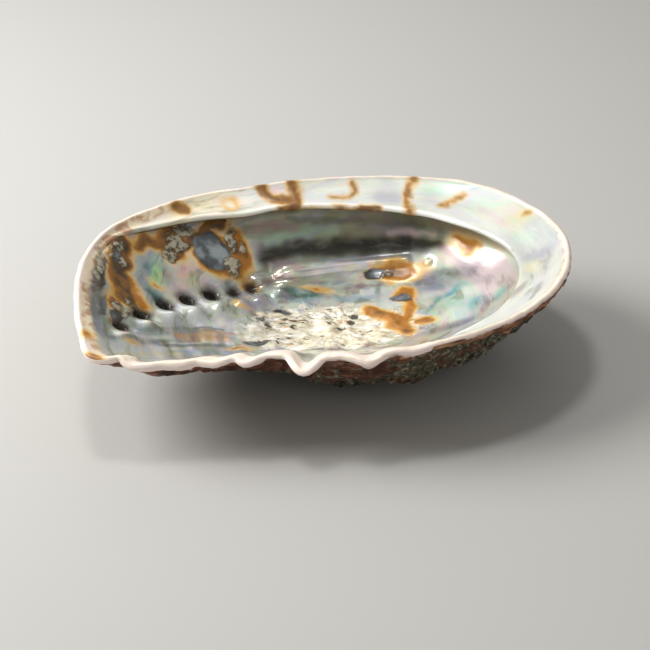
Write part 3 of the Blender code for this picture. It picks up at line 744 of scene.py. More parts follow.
def shelf_rows(size, angles, foot_reach, fullness):
    """The shelf's underside, its rounded inner edge and its top; it fades out into the lip."""
    direction = np.stack((np.cos(np.radians(angles)), np.sin(np.radians(angles))), axis=-1)
    width = around(SHELF_WIDTH, 1, angles)
    edge_radius = around(RIM, 1, angles) - width + lip_reach(angles)
    edge_height = around(RIM, 2, angles) - SHELF_FALL * width
    half = size.shelf_edge / 2

    def at(radius, height):
        return np.concatenate((direction * radius[:, None], height[:, None]), axis=1)

    foot = bowl(size, angles, foot_reach)
    rise = unit(bowl(size, angles, foot_reach + FOOT_STEP) - foot)
    under = at(edge_radius + half, edge_height - 2 * half)
    outward = np.concatenate((direction, np.zeros((len(angles), 1))), axis=1)
    leaving = foot + rise * (UNDERSIDE_RISE * width)[:, None]
    arriving = under + outward * (UNDERSIDE_REACH * width)[:, None]
    controls = (foot, leaving, arriving, under)
    path = []
    for row in range(1, UNDERSIDE_ROWS + 1):
        t = row / UNDERSIDE_ROWS
        weights = ((1 - t) ** 3, 3 * t * (1 - t) ** 2, 3 * t**2 * (1 - t), t**3)
        path.append(sum(weight * control for weight, control in zip(weights, controls)))
    for row in range(1, EDGE_ROWS + 1):
        turn = math.pi * (row / EDGE_ROWS - 0.5)
        radius = edge_radius + half - half * math.cos(turn)
        path.append(at(radius, edge_height - half + half * math.sin(turn)))
    rim = bowl(size, angles, np.ones_like(angles))
    top = path[-1]
    for row in range(1, SHELF_ROWS + 1):
        t = row / SHELF_ROWS
        point = top + (rim - top) * t
        point[:, 2] -= 4 * t * (1 - t) * SHELF_SAG
        path.append(point)
    rows = []
    for row, shelf_point in enumerate(path, 1):
        plain = bowl(size, angles, foot_reach + (1 - foot_reach) * row / len(path))
        rows.append(plain + (shelf_point - plain) * fullness[:, None])
    return rows


def outside_points(size, angles, reach):
    """Points on the rough outside, a wall's thickness out of the bowl."""
    behind_lip = smoothstep(0.0, LIP_TAPER_REACH, 1.0 - reach)
    thickness = size.lip + (around(WALL, 1, angles) - size.lip) * behind_lip
    towards_bottom = 1.0 - smoothstep(*BOTTOM_REACH, reach)
    thickness += (size.bottom - thickness) * towards_bottom
    base = bowl(size, angles, reach)
    thickness = np.maximum(thickness + outside_relief(size, base, reach), THINNEST_WALL)
    points = base + bowl_normal(size, angles, reach) * thickness[:, None]
    points[:, 2] = np.maximum(points[:, 2], 0.0)
    return points


def lip_rows(size, angles):
    """The rounded crest of the rim, from its inner to its outer side."""
    inner = bowl(size, angles, np.ones_like(angles))
    outer = outside_points(size, angles, np.ones_like(angles))
    middle = (inner + outer) / 2
    inward = (inner - outer) / 2
    half = np.linalg.norm(inward, axis=1, keepdims=True)
    upward = unit(inner - bowl(size, angles, np.full_like(angles, JUST_INSIDE)))
    rows = []
    for row in range(1, LIP_ROWS + 1):
        turn = math.pi * row / LIP_ROWS
        rows.append(middle + inward * math.cos(turn) + upward * half * math.sin(turn))
    return rows


def outside_rows(size, angles):
    """The outside of the shell, from the rim down to the worn flat that it rests on."""
    rows = []
    for row in range(1, OUTSIDE_ROWS + 1):
        share = (row / OUTSIDE_ROWS) ** OUTSIDE_ROW_SPREAD
        rows.append(outside_points(size, angles, np.full_like(angles, 1.0 - share)))
    rows[-1][:] = rows[-1].mean(axis=0)
    return rows


def surface_rows(size):
    """Every row of the even surface, the row of the rim's crest, and how full the shelf is."""
    angles = np.arange(size.columns) * 360.0 / size.columns
    width = around(SHELF_WIDTH, 1, angles)
    fullness = smoothstep(LIP_WIDTH, SHELF_FULL_WIDTH, width)
    span = around(RIM, 1, angles)
    foot_reach = LIP_ROOT_REACH + (1 - SHELF_ROOT * width / span - LIP_ROOT_REACH) * fullness
    rows = floor_rows(size, angles, foot_reach)
    rows += shelf_rows(size, angles, foot_reach, fullness)
    crest = len(rows) - 1 + LIP_ROWS // 2
    rows += lip_rows(size, angles)
    rows += outside_rows(size, angles)
    return np.array(rows), crest, fullness


def spot_depth(x, y, spot):
    """How deep inside an oval spot each point lies, below 0 outside it."""
    centre_x, centre_y, half_length, half_width, turn = spot
    cosine = math.cos(math.radians(turn))
    sine = math.sin(math.radians(turn))
    dx = x - centre_x
    dy = y - centre_y
    along = (dx * cosine + dy * sine) / half_length
    across = (dy * cosine - dx * sine) / half_width
    return (1.0 - np.hypot(along, across)) * min(half_length, half_width)


def stroke_depth(x, y, path, half_width):
    """How deep inside a brush stroke through a few points each point lies."""
    nearest = np.full(x.shape, 1e9)
    for (x1, y1), (x2, y2) in zip(path, path[1:]):
        length = (x2 - x1) ** 2 + (y2 - y1) ** 2
        t = np.clip(((x - x1) * (x2 - x1) + (y - y1) * (y2 - y1)) / length, 0.0, 1.0)
        nearest = np.minimum(nearest, np.hypot(x - x1 - t * (x2 - x1), y - y1 - t * (y2 - y1)))
    return half_width - nearest


def deepest(depths):
    """How deep each point lies in the deepest of several marks."""
    depth = NO_MARK
    for found in depths:
        depth = np.maximum(depth, found)
    return depth


def stain_depths(marks, core_start):
    """How deep each point lies in the stains, and in their brown cores."""
    stain = deepest(depth for depth, _ in marks)
    umber = deepest(depth * brown - core_start for depth, brown in marks)
    return stain, umber


def band_depth(knots, gap, extra):
    """How deep each point lies in a band along the crest; extra widens it on the outside."""
    angles = np.arange(gap.shape[1]) * 360.0 / gap.shape[1]
    width = np.where(gap > 0.0, around(knots, 2, angles) + extra, around(knots, 1, angles))
    return width - np.abs(gap)


def line_along(travel, band):
    """A soft line round the shell on one of its rows, 1 in its middle."""
    row, shift, half_width = band
    return np.exp(-((travel - travel[row] - shift) / half_width) ** 2)


def tooth_extra(angles):
    """How much wider the lip's bands are at its teeth, and narrower between them."""
    tooth = sum(np.exp(-(turn_between(angles, angle) / width) ** 2) for angle, _, width in TEETH)
    valley = smoothstep(0.6, 0.1, tooth)
    valley *= smoothstep(*VALLEY_START, angles) * (1.0 - smoothstep(*VALLEY_END, angles))
    return TOOTH_BAND * (np.minimum(tooth, 1.0) - VALLEY_SHARE * valley)


def hole_shade_depths(points):
    """How deep each point lies in the shade painted in the throats of the holes, so that they look
    deep.
    """
    throats = [(angle, OPEN_HOLE_SHADE) for angle in OPEN_HOLES]
    throats += [(angle, CLOSED_HOLE_SHADE) for angle in CLOSED_HOLES[:2]]
    for angle, half_width in throats:
        x, y = growth_place(angle)
        yield half_width - np.hypot(points[..., 0] - x, points[..., 1] - y)


def paint_fields(points, crest, fullness):
    """What the materials read at each point: depths in millimetres inside stains, crusts and so on."""
    rows = np.arange(len(points))[:, None]
    shelf_start = FLOOR_ROWS + UNDERSIDE_ROWS // 2
    on_shelf = (rows > shelf_start) & (rows <= crest + LIP_ROWS) & (fullness > SHELF_BEGINS)
    outside = rows > crest + LIP_ROWS // 2
    waves = lumps(points, WAVE_SIZE, 11)
    ripples = lumps(points, WAVE_SIZE, 12)
    fine = lumps(points, FINE_WAVE_SIZE, 13)
    broad_share, fine_share = BOWL_WANDER
    x = points[..., 0] + broad_share * waves + fine_share * fine
    y = points[..., 1] + broad_share * ripples - fine_share * fine
    marks = [(spot_depth(x, y, spot), brown) for *spot, brown in STAINS]
    marks += [(stroke_depth(x, y, path, width), brown) for path, width, brown in STAIN_STROKES]
    stain, umber = stain_depths(marks, CORE_START)
    broad_share, fine_share = SHELF_WANDER
    x_shelf = points[..., 0] + broad_share * waves + fine_share * fine
    y_shelf = points[..., 1] + broad_share * ripples - fine_share * fine
    marks = [
        (stroke_depth(x_shelf, y_shelf, path, width), brown) for path, width, brown in SHELF_STAINS
    ]
    shelf_stain, shelf_umber = stain_depths(marks, SHELF_CORE_START)
    for spot in SHELF_RINGS:
        ring = spot_depth(x_shelf, y_shelf, (*spot, 0))
        shelf_stain = np.maximum(shelf_stain, RING_HALF_WIDTH - np.abs(ring))
    scar_x = x + SCAR_WANDER[0] * lumps(points, SCAR_WANDER[1], 14)
    scar = spot_depth(scar_x, y + SCAR_RAGGED * waves, SCAR)
    pits = (
        spot_depth(x, y, (pit_x, pit_y, half_width * SCAR_PIT_STRETCH, half_width, 0))
        for pit_x, pit_y, half_width in SCAR_PITS
    )
    step = np.linalg.norm(np.diff(points, axis=0), axis=-1)
    travel = np.concatenate((np.zeros((1, points.shape[1])), np.cumsum(step, axis=0)))
    gap = travel - travel[crest]
    angles = np.arange(points.shape[1]) * 360.0 / points.shape[1]
    extra = tooth_extra(angles)
    # Painted highlight: a bright line along the shelf's inner edge, growing from the left and fading at
    # the right
    edge = line_along(travel, EDGE_HIGHLIGHT_BAND) * fullness * on_shelf
    edge *= smoothstep(*EDGE_HIGHLIGHT_GROWS, points[..., 0])
    edge *= 1.0 - EDGE_HIGHLIGHT_FADE_SHARE * smoothstep(*EDGE_HIGHLIGHT_FADES, points[..., 0])
    right = smoothstep(*CRUSTED_RIGHT, points[..., 0] - CRUSTED_SLANT * points[..., 1])
    low = 1.0 - smoothstep(*CRUSTED_HEIGHT, points[..., 2])
    wander = CRUSTED_WANDER[0] * lumps(points, CRUSTED_WANDER[1], 15)
    in_bowl = ~(on_shelf | outside)
    fields = {
        "stain": np.where(outside, NO_MARK, np.where(on_shelf, shelf_stain, stain)),
        "umber": np.where(outside, NO_MARK, np.where(on_shelf, shelf_umber, umber)),
        "slate": np.where(in_bowl, deepest(spot_depth(x, y, spot) for spot in SLATES), NO_MARK),
        "crust": np.where(in_bowl, deepest(spot_depth(x, y, spot) for spot in CRUSTS), NO_MARK),
        "scar": np.where(in_bowl, scar, NO_MARK),
        "rim_gap": gap,
        "lip": band_depth(LIP_BAND, gap, extra),
        "tan": band_depth(TAN_BAND, gap, extra),
        # Painted shade: a dark line under the shelf's edge
        "under": line_along(travel, UNDER_SHADE_BAND) * fullness * (rows < crest),
        # Painted highlight: a line along the shelf's inner edge
        "edge": edge,
        "calm": smoothstep(*CALM_Y, points[..., 1]) * smoothstep(*CALM_X, points[..., 0]),
        "growth": growth_share(points) * 100.0,
        # Painted shade in the throats of the holes
        "hole": deepest(hole_shade_depths(points)),
        "lichen": np.clip(np.maximum(right, low) + wander, 0.0, 1.0),
        "shelf": on_shelf * fullness * np.ones(x.shape),
        "silk": deepest(spot_depth(x, y, spot) for spot in SILKS),
        "pit": deepest(pits),
    }
    ring = np.radians(angles)
    stream = np.empty(points.shape)
    stream[..., 0] = CREST_LAYER * travel / travel[crest]
    stream[..., 1] = STREAM_RING * np.cos(ring)
    stream[..., 2] = STREAM_RING * np.sin(ring)
    return fields, on_shelf, stream


def pearl_tint(points, on_shelf, finish):
    """The soft colour of the pearl at each point, before its fine lustre; some washes are painted
    highlights, painted reflection and painted shade.
    """
    tint = np.ones(points.shape) * np.array(finish.pearl[:3])

    def wash(name, weight):
        tint[:] += (np.array(getattr(finish, name)[:3]) - tint) * weight[..., None]

    x = points[..., 0] + TINT_WANDER[0] * lumps(points, TINT_WANDER[1], 21)
    y = points[..., 1] + TINT_WANDER[0] * lumps(points, TINT_WANDER[1], 22)
    for tints, where in ((TINTS, ~on_shelf), (SHELF_TINTS, on_shelf)):
        for *spot, name, share in tints:
            away = np.maximum(0.0, 1.0 - spot_depth(x, y, spot) / min(spot[2], spot[3]))
            wash(name, share * np.exp(-(away**3)) * where)
    # Painted highlights: white on the humps below the holes
    for angle in OPEN_HOLES[:-1]:
        highlight_middle = np.add(growth_place(angle), HUMP_OFFSET)
        wash("white", HUMP_HIGHLIGHT_SHARE * bump(points, highlight_middle, HUMP_HIGHLIGHT_SIZE))
    x = points[..., 0] + STROKE_WANDER[0] * lumps(points, STROKE_WANDER[1], 23)
    y = points[..., 1] + STROKE_WANDER[0] * lumps(points, STROKE_WANDER[1], 24)
    for path, half_width, name, share in TINT_STROKES:
        away = 1.0 - stroke_depth(x, y, path, half_width) / half_width
        wash(name, share * np.exp(-(away**3)) * ~on_shelf)
    return tint


def inner_detail(points, fields, stream, small, tiny, broad):
    """Height of the finest forms inside: the scar's grain and pits, crusts, stains and ripples."""
    scar = smoothstep(-1.0, 3.0, fields["scar"])
    crust = smoothstep(-0.3, 0.3, fields["crust"])
    lift = BROAD_WAVES * broad
    lift += scar * (SCAR_SMALL * small + SCAR_TINY * tiny)
    lift -= PIT_SINK * smoothstep(-0.5, 0.5, fields["pit"])
    lift += crust * (CRUST_LIFT + CRUST_SMALL * small + CRUST_TINY * tiny)
    lift += STAIN_LIFT * smoothstep(0.0, 3.0, fields["stain"])
    lift -= SLATE_SINK * smoothstep(-0.5, 1.0, fields["slate"])
    near_left = 1.0 - smoothstep(*NEAR_LEFT_X, points[..., 0])
    near_left *= 1.0 - smoothstep(*NEAR_LEFT_Y, points[..., 1])
    ripple = RIPPLE + NEAR_LEFT_RIPPLE * near_left
    lift += ripple * lumps(stream, RIPPLE_LUMP, 36) * (1.0 - scar)
    fold = stroke_depth(points[..., 0], points[..., 1], FOLD_PATH, 0.0) / FOLD_HALF_WIDTH
    lift += FOLD_RISE * np.exp(-(fold**2)) * (fields["under"] < 0.5)
    near_rim = smoothstep(*CALM_RIM, fields["rim_gap"])
    return lift * (1.0 - CALM_RIM_SHARE * near_rim)


def outer_detail(points, fields, stream, small, tiny, broad):
    """Height of the finest forms outside: growth lines, layers and crust."""
    grown = fields["growth"] / 100.0
    lines = (grown * GROWTH_LINES + LINE_WANDER * broad) % 1.0
    lift = GROWTH_LINE_HEIGHT * lines**2 + OUTER_SMALL * small + OUTER_TINY * tiny
    lift += LAYER_HEIGHT * lumps(stream, LAYER_LUMP, 37)
    large = np.abs(lumps(points, CRUST_LUMP, 34))
    lift += fields["lichen"] * (OUTER_CRUST[0] * np.abs(small) + OUTER_CRUST[1] * large)
    return lift * smoothstep(0.3, 4.0, fields["rim_gap"]) * smoothstep(0.0, 3.0, points[..., 2])


def lip_chips(points, gap):
    """Height of the worn chips along the rim, more of them along the near lip."""
    near = 1.0 - smoothstep(*NEAR_LIP_Y, points[..., 1])
    chips = CHIP_HEIGHT * lumps(points, CHIP_LUMP, 35)
    chips += NEAR_CHIP_HEIGHT * near * lumps(points, NEAR_CHIP_LUMP, 38)
    return chips * np.exp(-(gap / CHIP_REACH) ** 2)


def fine_relief(points, fields, stream, crest):
    """Height of the finest forms, inside, outside and along the rim."""
    inside = np.arange(len(points))[:, None] <= crest
    small = lumps(points, SMALL_LUMP, 31)
    tiny = lumps(points, TINY_LUMP, 32)
    broad = lumps(points, BROAD_LUMP, 33)
    inner = inner_detail(points, fields, stream, small, tiny, broad)
    outer = outer_detail(points, fields, stream, small, tiny, broad)
    return inner * inside + outer * ~inside + lip_chips(points, fields["rim_gap"])


def out_of_surface(points):
    """The direction out of the solid at each point of the grid."""
    down = np.gradient(points, axis=0)
    across = np.roll(points, -1, axis=1) - np.roll(points, 1, axis=1)
    normal = unit(np.cross(down, across))
    normal[0] = (0.0, 0.0, 1.0)
    normal[-1] = (0.0, 0.0, -1.0)
    return normal


def deselect_all():
    """Leave nothing selected, so that the next operator acts on its own piece alone."""
    bpy.ops.object.select_all(action="DESELECT")


def add_ball(points):
    """A ball whose upper half is pressed in to make the bowl and whose lower half is its outside."""
    last = len(points) - 1
    columns = points.shape[1]
    deselect_all()
    bpy.ops.mesh.primitive_uv_sphere_add(segments=columns, ring_count=last, radius=1.0)
    shell = bpy.context.object
    shell.name = "abalone_shell"
    shell.data.name = "abalone_shell"
    place = np.zeros(len(shell.data.vertices) * 3, np.float32)
    shell.data.vertices.foreach_get("co", place)
    place = place.reshape(-1, 3).astype(float)
    row = np.rint(np.arccos(np.clip(place[:, 2], -1.0, 1.0)) / math.pi * last).astype(int)
    column = np.rint(np.arctan2(place[:, 1], place[:, 0]) / math.tau * columns).astype(int) % columns
    shell.data.vertices.foreach_set("co", (points[row, column] * MM).astype(np.float32).ravel())
    shell.data.update()
    return shell


def hole_frame(size, angle):
    """Middle of the wall and the direction through it, where a hole goes."""
    target = np.array(growth_place(angle))
    all_round = np.arange(0.0, 360.0, HOLE_SEARCH_STEP)
    angles, reach = np.meshgrid(all_round, np.linspace(*HOLE_SEARCH_REACH))
    points = bowl(size, angles, reach)
    nearest = np.argmin(np.linalg.norm(points[..., :2] - target, axis=-1))
    found_angle = angles.reshape(-1)[nearest:nearest + 1]
    found_reach = reach.reshape(-1)[nearest:nearest + 1]
    normal = bowl_normal(size, found_angle, found_reach)[0]
    return bowl(size, found_angle, found_reach)[0] + normal * size.lip, Vector(normal)


def add_hole_cutter(size, angle, shift):
    """An oval peg, wider outside, along the hole that the shell once breathed through."""
    middle, normal = hole_frame(size, angle)
    deselect_all()
    bpy.ops.mesh.primitive_cone_add(
        vertices=HOLE_SIDES,
        radius1=size.hole_width / 2 * (1 - HOLE_FLARE) * MM,
        radius2=size.hole_width / 2 * (1 + HOLE_FLARE) * MM,
        depth=HOLE_CUTTER_DEPTH * MM,
    )
    cutter = bpy.context.object
    turn = math.radians(angle)
    along = Vector((math.cos(turn), math.sin(turn), 0.0))
    side = normal.cross(along).normalized()
    along = side.cross(normal).normalized()
    stretch = size.hole_length / size.hole_width
    for vertex in cutter.data.vertices:
        local = vertex.co.copy()
        vertex.co = along * local.x * stretch + side * local.y + normal * local.z
        vertex.co += Vector((middle - shift) * MM)
    return cutter


def cut_holes(shell, size, shift):
    """Open the row of holes with one cut."""
    cutters = [add_hole_cutter(size, angle, shift) for angle in OPEN_HOLES]
    deselect_all()
    for cutter in cutters:
        cutter.select_set(True)
    bpy.context.view_layer.objects.active = cutters[0]
    bpy.ops.object.join()
    cutter = bpy.context.object
    hole = shell.modifiers.new("holes", "BOOLEAN")
    hole.operation = "DIFFERENCE"
    hole.solver = "EXACT"
    hole.object = cutter
    deselect_all()
    shell.select_set(True)
    bpy.context.view_layer.objects.active = shell
    bpy.ops.object.modifier_apply(modifier=hole.name)
    bpy.data.objects.remove(cutter, do_unlink=True)


def nearest_points(shell, points):
    """For each vertex, the number of the grid point that it stands at or next to."""
    flat = (points.reshape(-1, 3) * MM).tolist()
    tree = kdtree.KDTree(len(flat))
    for number, point in enumerate(flat):
        tree.insert(point, number)
    tree.balance()
    return np.array([tree.find(vertex.co)[1] for vertex in shell.data.vertices])


def write_fields(shell, size, shift, points, fields, stream, tint):
    """Keep what the materials read on the mesh, point by point."""
    mesh = shell.data
    index = nearest_points(shell, points)
    for name, depths in fields.items():
        layer = mesh.attributes.new(name, "FLOAT", "POINT")
        layer.data.foreach_set("value", depths.reshape(-1)[index].astype(np.float32))
    layer = mesh.attributes.new("stream", "FLOAT_VECTOR", "POINT")
    layer.data.foreach_set("vector", stream.reshape(-1, 3)[index].astype(np.float32).ravel())
    colours = np.ones((len(index), 4), np.float32)
    colours[:, :3] = tint.reshape(-1, 3)[index]
    layer = mesh.attributes.new("tint", "FLOAT_COLOR", "POINT")
    layer.data.foreach_set("color", colours.ravel())
    gap = fields["rim_gap"].reshape(-1)[index]
    sides = np.array([gap[list(face.vertices)].mean() > 0.0 for face in mesh.polygons], np.int32)
    for middle, normal in (hole_frame(size, angle) for angle in OPEN_HOLES):
        middle = Vector((middle - shift) * MM)
        for face in mesh.polygons:
            away = face.center - middle
            if away.length < HOLE_WALL_REACH * MM and abs(face.normal.dot(normal)) < HOLE_WALL_SLANT:
                sides[face.index] = 2
    mesh.polygons.foreach_set("material_index", sides)


class Nodes:
    """A material's nodes, added from left to right, with short names for the ones used most."""

    def __init__(self, name):
        self.material = bpy.data.materials.new(name)
        self.material.use_nodes = True
        self.tree = self.material.node_tree
        self.tree.nodes.clear()
        self.count = 0

    def add(self, kind, **settings):
        node = self.tree.nodes.new(kind)
        node.location = (self.count % 24 * 190, self.count // 24 * -320)
        self.count += 1
        for name, value in settings.items():
            setattr(node, name, value)
        return node

    def feed(self, socket, value):
        if isinstance(value, bpy.types.NodeSocket):
            self.tree.links.new(value, socket)
        elif socket.type == "RGBA":
            socket.default_value = (*value[:3], 1.0)
        else:
            socket.default_value = value

    def field(self, name):
        return self.add("ShaderNodeAttribute", attribute_name=name).outputs["Fac"]

    def colour_field(self, name):
        return self.add("ShaderNodeAttribute", attribute_name=name).outputs["Color"]

    def place(self, stretch=(1.0, 1.0, 1.0)):
        """Place on the shell in millimetres, stretched for a pattern with a grain."""
        mapping = self.add("ShaderNodeMapping")
        mapping.inputs["Scale"].default_value = tuple(part / MM for part in stretch)
        coordinates = self.add("ShaderNodeTexCoord").outputs["Object"]
        self.feed(mapping.inputs["Vector"], coordinates)
        return mapping.outputs["Vector"]

    def noise(self, place, grain, detail=2.0, distortion=0.0):
        """Cloudy noise between 0 and 1 whose lumps are about grain millimetres wide."""
        node = self.add("ShaderNodeTexNoise")
        self.feed(node.inputs["Vector"], place)
        node.inputs["Scale"].default_value = 1.0 / grain
        node.inputs["Detail"].default_value = detail
        node.inputs["Distortion"].default_value = distortion
        return node.outputs["Fac"]

    def cells(self, place, grain):
        node = self.add("ShaderNodeTexVoronoi")
        self.feed(node.inputs["Vector"], place)
        node.inputs["Scale"].default_value = 1.0 / grain
        return node.outputs["Distance"]

    def math(self, operation, first, second=0.0, third=0.0):
        node = self.add("ShaderNodeMath", operation=operation)
        for socket, value in zip(node.inputs, (first, second, third)):
            self.feed(socket, value)
        return node.outputs[0]

    def times(self, first, second):
        return self.math("MULTIPLY", first, second)

    def most(self, *values):
        """The greatest of several numbers."""
        result = values[0]
        for value in values[1:]:
            result = self.math("MAXIMUM", result, value)
        return result

    def rest(self, value):
        """What is left of 1."""
        return self.math("SUBTRACT", 1.0, value)

    def frayed(self, name, wobble, amount):
        """A field whose edge wanders by a noise around 0."""
        return self.math("MULTIPLY_ADD", wobble, amount, self.field(name))

    def step(self, value, low, high, start=0.0, end=1.0):
        """Start below low, end above high, and a soft rise between them."""
        node = self.add("ShaderNodeMapRange", interpolation_type="SMOOTHSTEP")
        for name, given in (
            ("Value", value), ("From Min", low), ("From Max", high), ("To Min", start), ("To Max", end)
        ):
            self.feed(node.inputs[name], given)
        return node.outputs["Result"]

    def mix(self, share, first, second, blend="MIX"):
        node = self.add("ShaderNodeMix", data_type="RGBA", blend_type=blend)
        self.feed(node.inputs[0], share)
        self.feed(node.inputs[6], first)
        self.feed(node.inputs[7], second)
        return node.outputs[2]

    def blend(self, share, first, second):
        """A number between first and second."""
        node = self.add("ShaderNodeMix", data_type="FLOAT")
        self.feed(node.inputs[0], share)
        self.feed(node.inputs[2], first)
        self.feed(node.inputs[3], second)
        return node.outputs[0]

    def ramp(self, value, stops):
        node = self.add("ShaderNodeValToRGB")
        self.feed(node.inputs["Fac"], value)
        elements = node.color_ramp.elements
        while len(elements) < len(stops):
            elements.new(0.5)
        for element, (position, colour) in zip(elements, stops):
            element.position = position
            element.color = (*colour[:3], 1.0)
        return node.outputs["Color"]

    def bump(self, height, strength, distance, normal=None):
        node = self.add("ShaderNodeBump")
        node.inputs["Strength"].default_value = strength
        node.inputs["Distance"].default_value = distance
        self.feed(node.inputs["Height"], height)
        if normal is not None:
            self.feed(node.inputs["Normal"], normal)
        return node.outputs["Normal"]

    def finish(self, **inputs):
        surface = self.add("ShaderNodeBsdfPrincipled")
        for name, value in inputs.items():
            self.feed(surface.inputs[name.replace("_", " ")], value)
        output = self.add("ShaderNodeOutputMaterial")
        self.feed(output.inputs["Surface"], surface.outputs["BSDF"])
        return self.material


def mother_of_pearl(finish):
    """The inside: lustrous pearl, muscle scar, stains, crusts and the pale lip."""
    g = Nodes("mother_of_pearl")
    place = g.place()
    streaky = g.place((0.3, 1.0, 1.0))
    stream = g.add("ShaderNodeAttribute", attribute_name="stream").outputs["Vector"]
    wobble = g.math("SUBTRACT", g.noise(place, 2.2, 4.0), 0.5)
    grit = g.noise(place, 0.9, 4.0)
    shelf = g.field("shelf")

    # Lustre: hues in long streaks that follow the layers of the pearl
    tide = g.noise(stream, 8.0, 4.0, 0.6)
    streak = g.noise(stream, 3.2, 4.0, 0.35)
    hue = g.math("MULTIPLY_ADD", g.math("SUBTRACT", streak, 0.5), 0.55, tide)
    lustre = g.ramp(hue, (
        (0.34, (1.0, 0.76, 0.84)), (0.40, (1.0, 0.94, 0.76)), (0.45, (0.74, 1.0, 0.85)),
        (0.50, (1.0, 1.0, 0.97)), (0.55, (0.70, 0.87, 1.0)), (0.61, (0.92, 0.78, 1.0)),
        (0.66, (0.96, 1.0, 0.80)),
    ))
    lively = g.rest(g.times(g.field("calm"), 0.85))
    paleness = g.blend(shelf, 0.75, 0.40)
    base = g.mix(paleness, g.colour_field("tint"), lustre, "MULTIPLY")
    base = g.mix(g.times(g.step(streak, 0.52, 0.68, 0.0, 0.42), lively), base, finish.pearl)
    base = g.mix(g.times(g.step(streak, 0.48, 0.36, 0.0, 0.45), lively), base, finish.smoke)
    clouds = g.noise(place, 7.0, 3.0, 0.5)
    base = g.mix(g.times(g.step(clouds, 0.50, 0.66, 0.0, 0.24), lively), base, finish.pearl)
    rings = g.math("FRACT", g.times(g.noise(stream, 9.0, 1.0, 0.3), 15.0))
    thread = g.step(g.math("ABSOLUTE", g.math("SUBTRACT", rings, 0.5)), 0.10, 0.0)
    thread = g.times(thread, g.step(g.field("silk"), -1.0, 4.0, 0.0, 0.28))
    base = g.mix(thread, base, finish.white)

    # The muscle scar: a streaky crust, bone white with dark pits and rusty flecks
    scar_depth = g.frayed("scar", wobble, 8.0)
    scar = g.step(scar_depth, -1.5, 2.0)
    strokes = g.noise(streaky, 1.5, 5.0, 0.6)
    mottled = g.mix(0.6, g.colour_field("tint"), finish.bone)
    mottled = g.mix(1.0, mottled, g.ramp(strokes, (
        (0.34, (0.60, 0.57, 0.50)), (0.44, (0.86, 0.83, 0.75)), (0.54, (1.0, 0.99, 0.95)),
    )), "MULTIPLY")
    mottled = g.mix(g.step(g.noise(streaky, 3.0, 3.0), 0.50, 0.62, 0.0, 0.7), mottled, finish.white)
    patches = g.step(g.noise(place, 8.0, 2.0), 0.46, 0.56)
    pitted = g.times(g.step(g.noise(streaky, 1.6, 4.0, 0.5), 0.44, 0.37), patches)
    pitted = g.most(pitted, g.step(g.frayed("pit", wobble, 3.0), -0.3, 0.3))
    mottled = g.mix(g.times(pitted, 0.9), mottled, finish.shade)
    rusty = g.times(g.step(g.noise(streaky, 1.2, 6.0, 1.0), 0.58, 0.64), patches)
    mottled = g.mix(g.times(rusty, 0.6), mottled, finish.amber)
    base = g.mix(scar, base, mottled)

    # A highlight painted on the inner edge of the shelf, shade painted in a line under it, and the lip
    # with its tan band
    base = g.mix(g.step(g.field("edge"), 0.25, 0.8, 0.0, 0.9), base, finish.white)
    # Painted shade: dark under the shelf's edge
    base = g.mix(g.step(g.field("under"), 0.3, 0.9, 0.0, 0.95), base, finish.shade)
    tan = g.step(g.frayed("tan", wobble, 2.5), -1.4, 1.2)
    tan_colour = g.mix(g.step(clouds, 0.42, 0.58), finish.tan, finish.sand)
    base = g.mix(g.times(tan, 0.9), base, tan_colour)
    lip = g.step(g.frayed("lip", wobble, 2.4), -0.9, 0.7)
    lip_colour = g.mix(g.step(g.noise(stream, 1.6, 4.0), 0.40, 0.60), finish.lip, finish.cream)
    base = g.mix(lip, base, lip_colour)

    # Stains: a golden edge that fades out, an amber body and a brown core
    bleed = g.math("SUBTRACT", g.noise(place, 5.0, 2.0, 0.4), 0.5)
    stain_depth = g.frayed("stain", bleed, 2.2)
    umber_depth = g.frayed("umber", bleed, 3.4)
    stained = g.step(stain_depth, -1.8, 1.0)
    stain = g.mix(g.step(stain_depth, -0.2, 1.7), finish.gold, finish.amber)
    stain = g.mix(g.step(umber_depth, -1.6, 1.6), stain, finish.umber)
    stain = g.mix(g.step(umber_depth, 0.8, 2.8, 0.0, 0.6), stain, finish.deep_shade_and_stain_core)
    mottle = g.step(g.noise(place, 5.0, 2.0, 0.3), 0.44, 0.66, 0.0, 0.35)
    stain = g.mix(g.times(mottle, g.step(stain_depth, 0.5, 1.5)), stain, finish.amber)
    base = g.mix(g.times(stained, 0.96), base, stain)

    # Slate patches where the pearl is gone, and the crusts beside them
    slate_depth = g.frayed("slate", wobble, 1.2)
    slate = g.step(slate_depth, -0.2, 0.3)
    base = g.mix(g.step(slate_depth, -0.5, -0.1, 0.0, 0.5), base, finish.umber)
    slate_colour = g.mix(g.step(g.noise(place, 6.0, 2.0), 0.40, 0.62), finish.slate, finish.steel)
    blotches = g.step(g.noise(place, 3.6, 4.0), 0.44, 0.32, 0.0, 0.3)
    slate_colour = g.mix(blotches, slate_colour, finish.shade)
    slate_colour = g.mix(g.step(slate_depth, 2.0, 0.2, 0.0, 0.45), slate_colour, finish.shade)
    base = g.mix(slate, base, slate_colour)
    crust_depth = g.frayed("crust", wobble, 3.4)
    base = g.mix(g.step(crust_depth, -1.0, -0.2, 0.0, 0.55), base, finish.umber)
    crust = g.step(crust_depth, -0.25, 0.25)
    crust_colour = g.mix(g.step(g.noise(place, 1.8, 5.0), 0.40, 0.54), finish.smoke, finish.chalk)
    base = g.mix(g.times(crust, 0.92), base, crust_colour)

    # Painted shade in the throats of the holes and the first closed pits, so that they look deep
    hole_shade = g.step(g.frayed("hole", wobble, 1.2), -2.8, 0.6)
    base = g.mix(hole_shade, base, finish.deep_shade_and_stain_core)

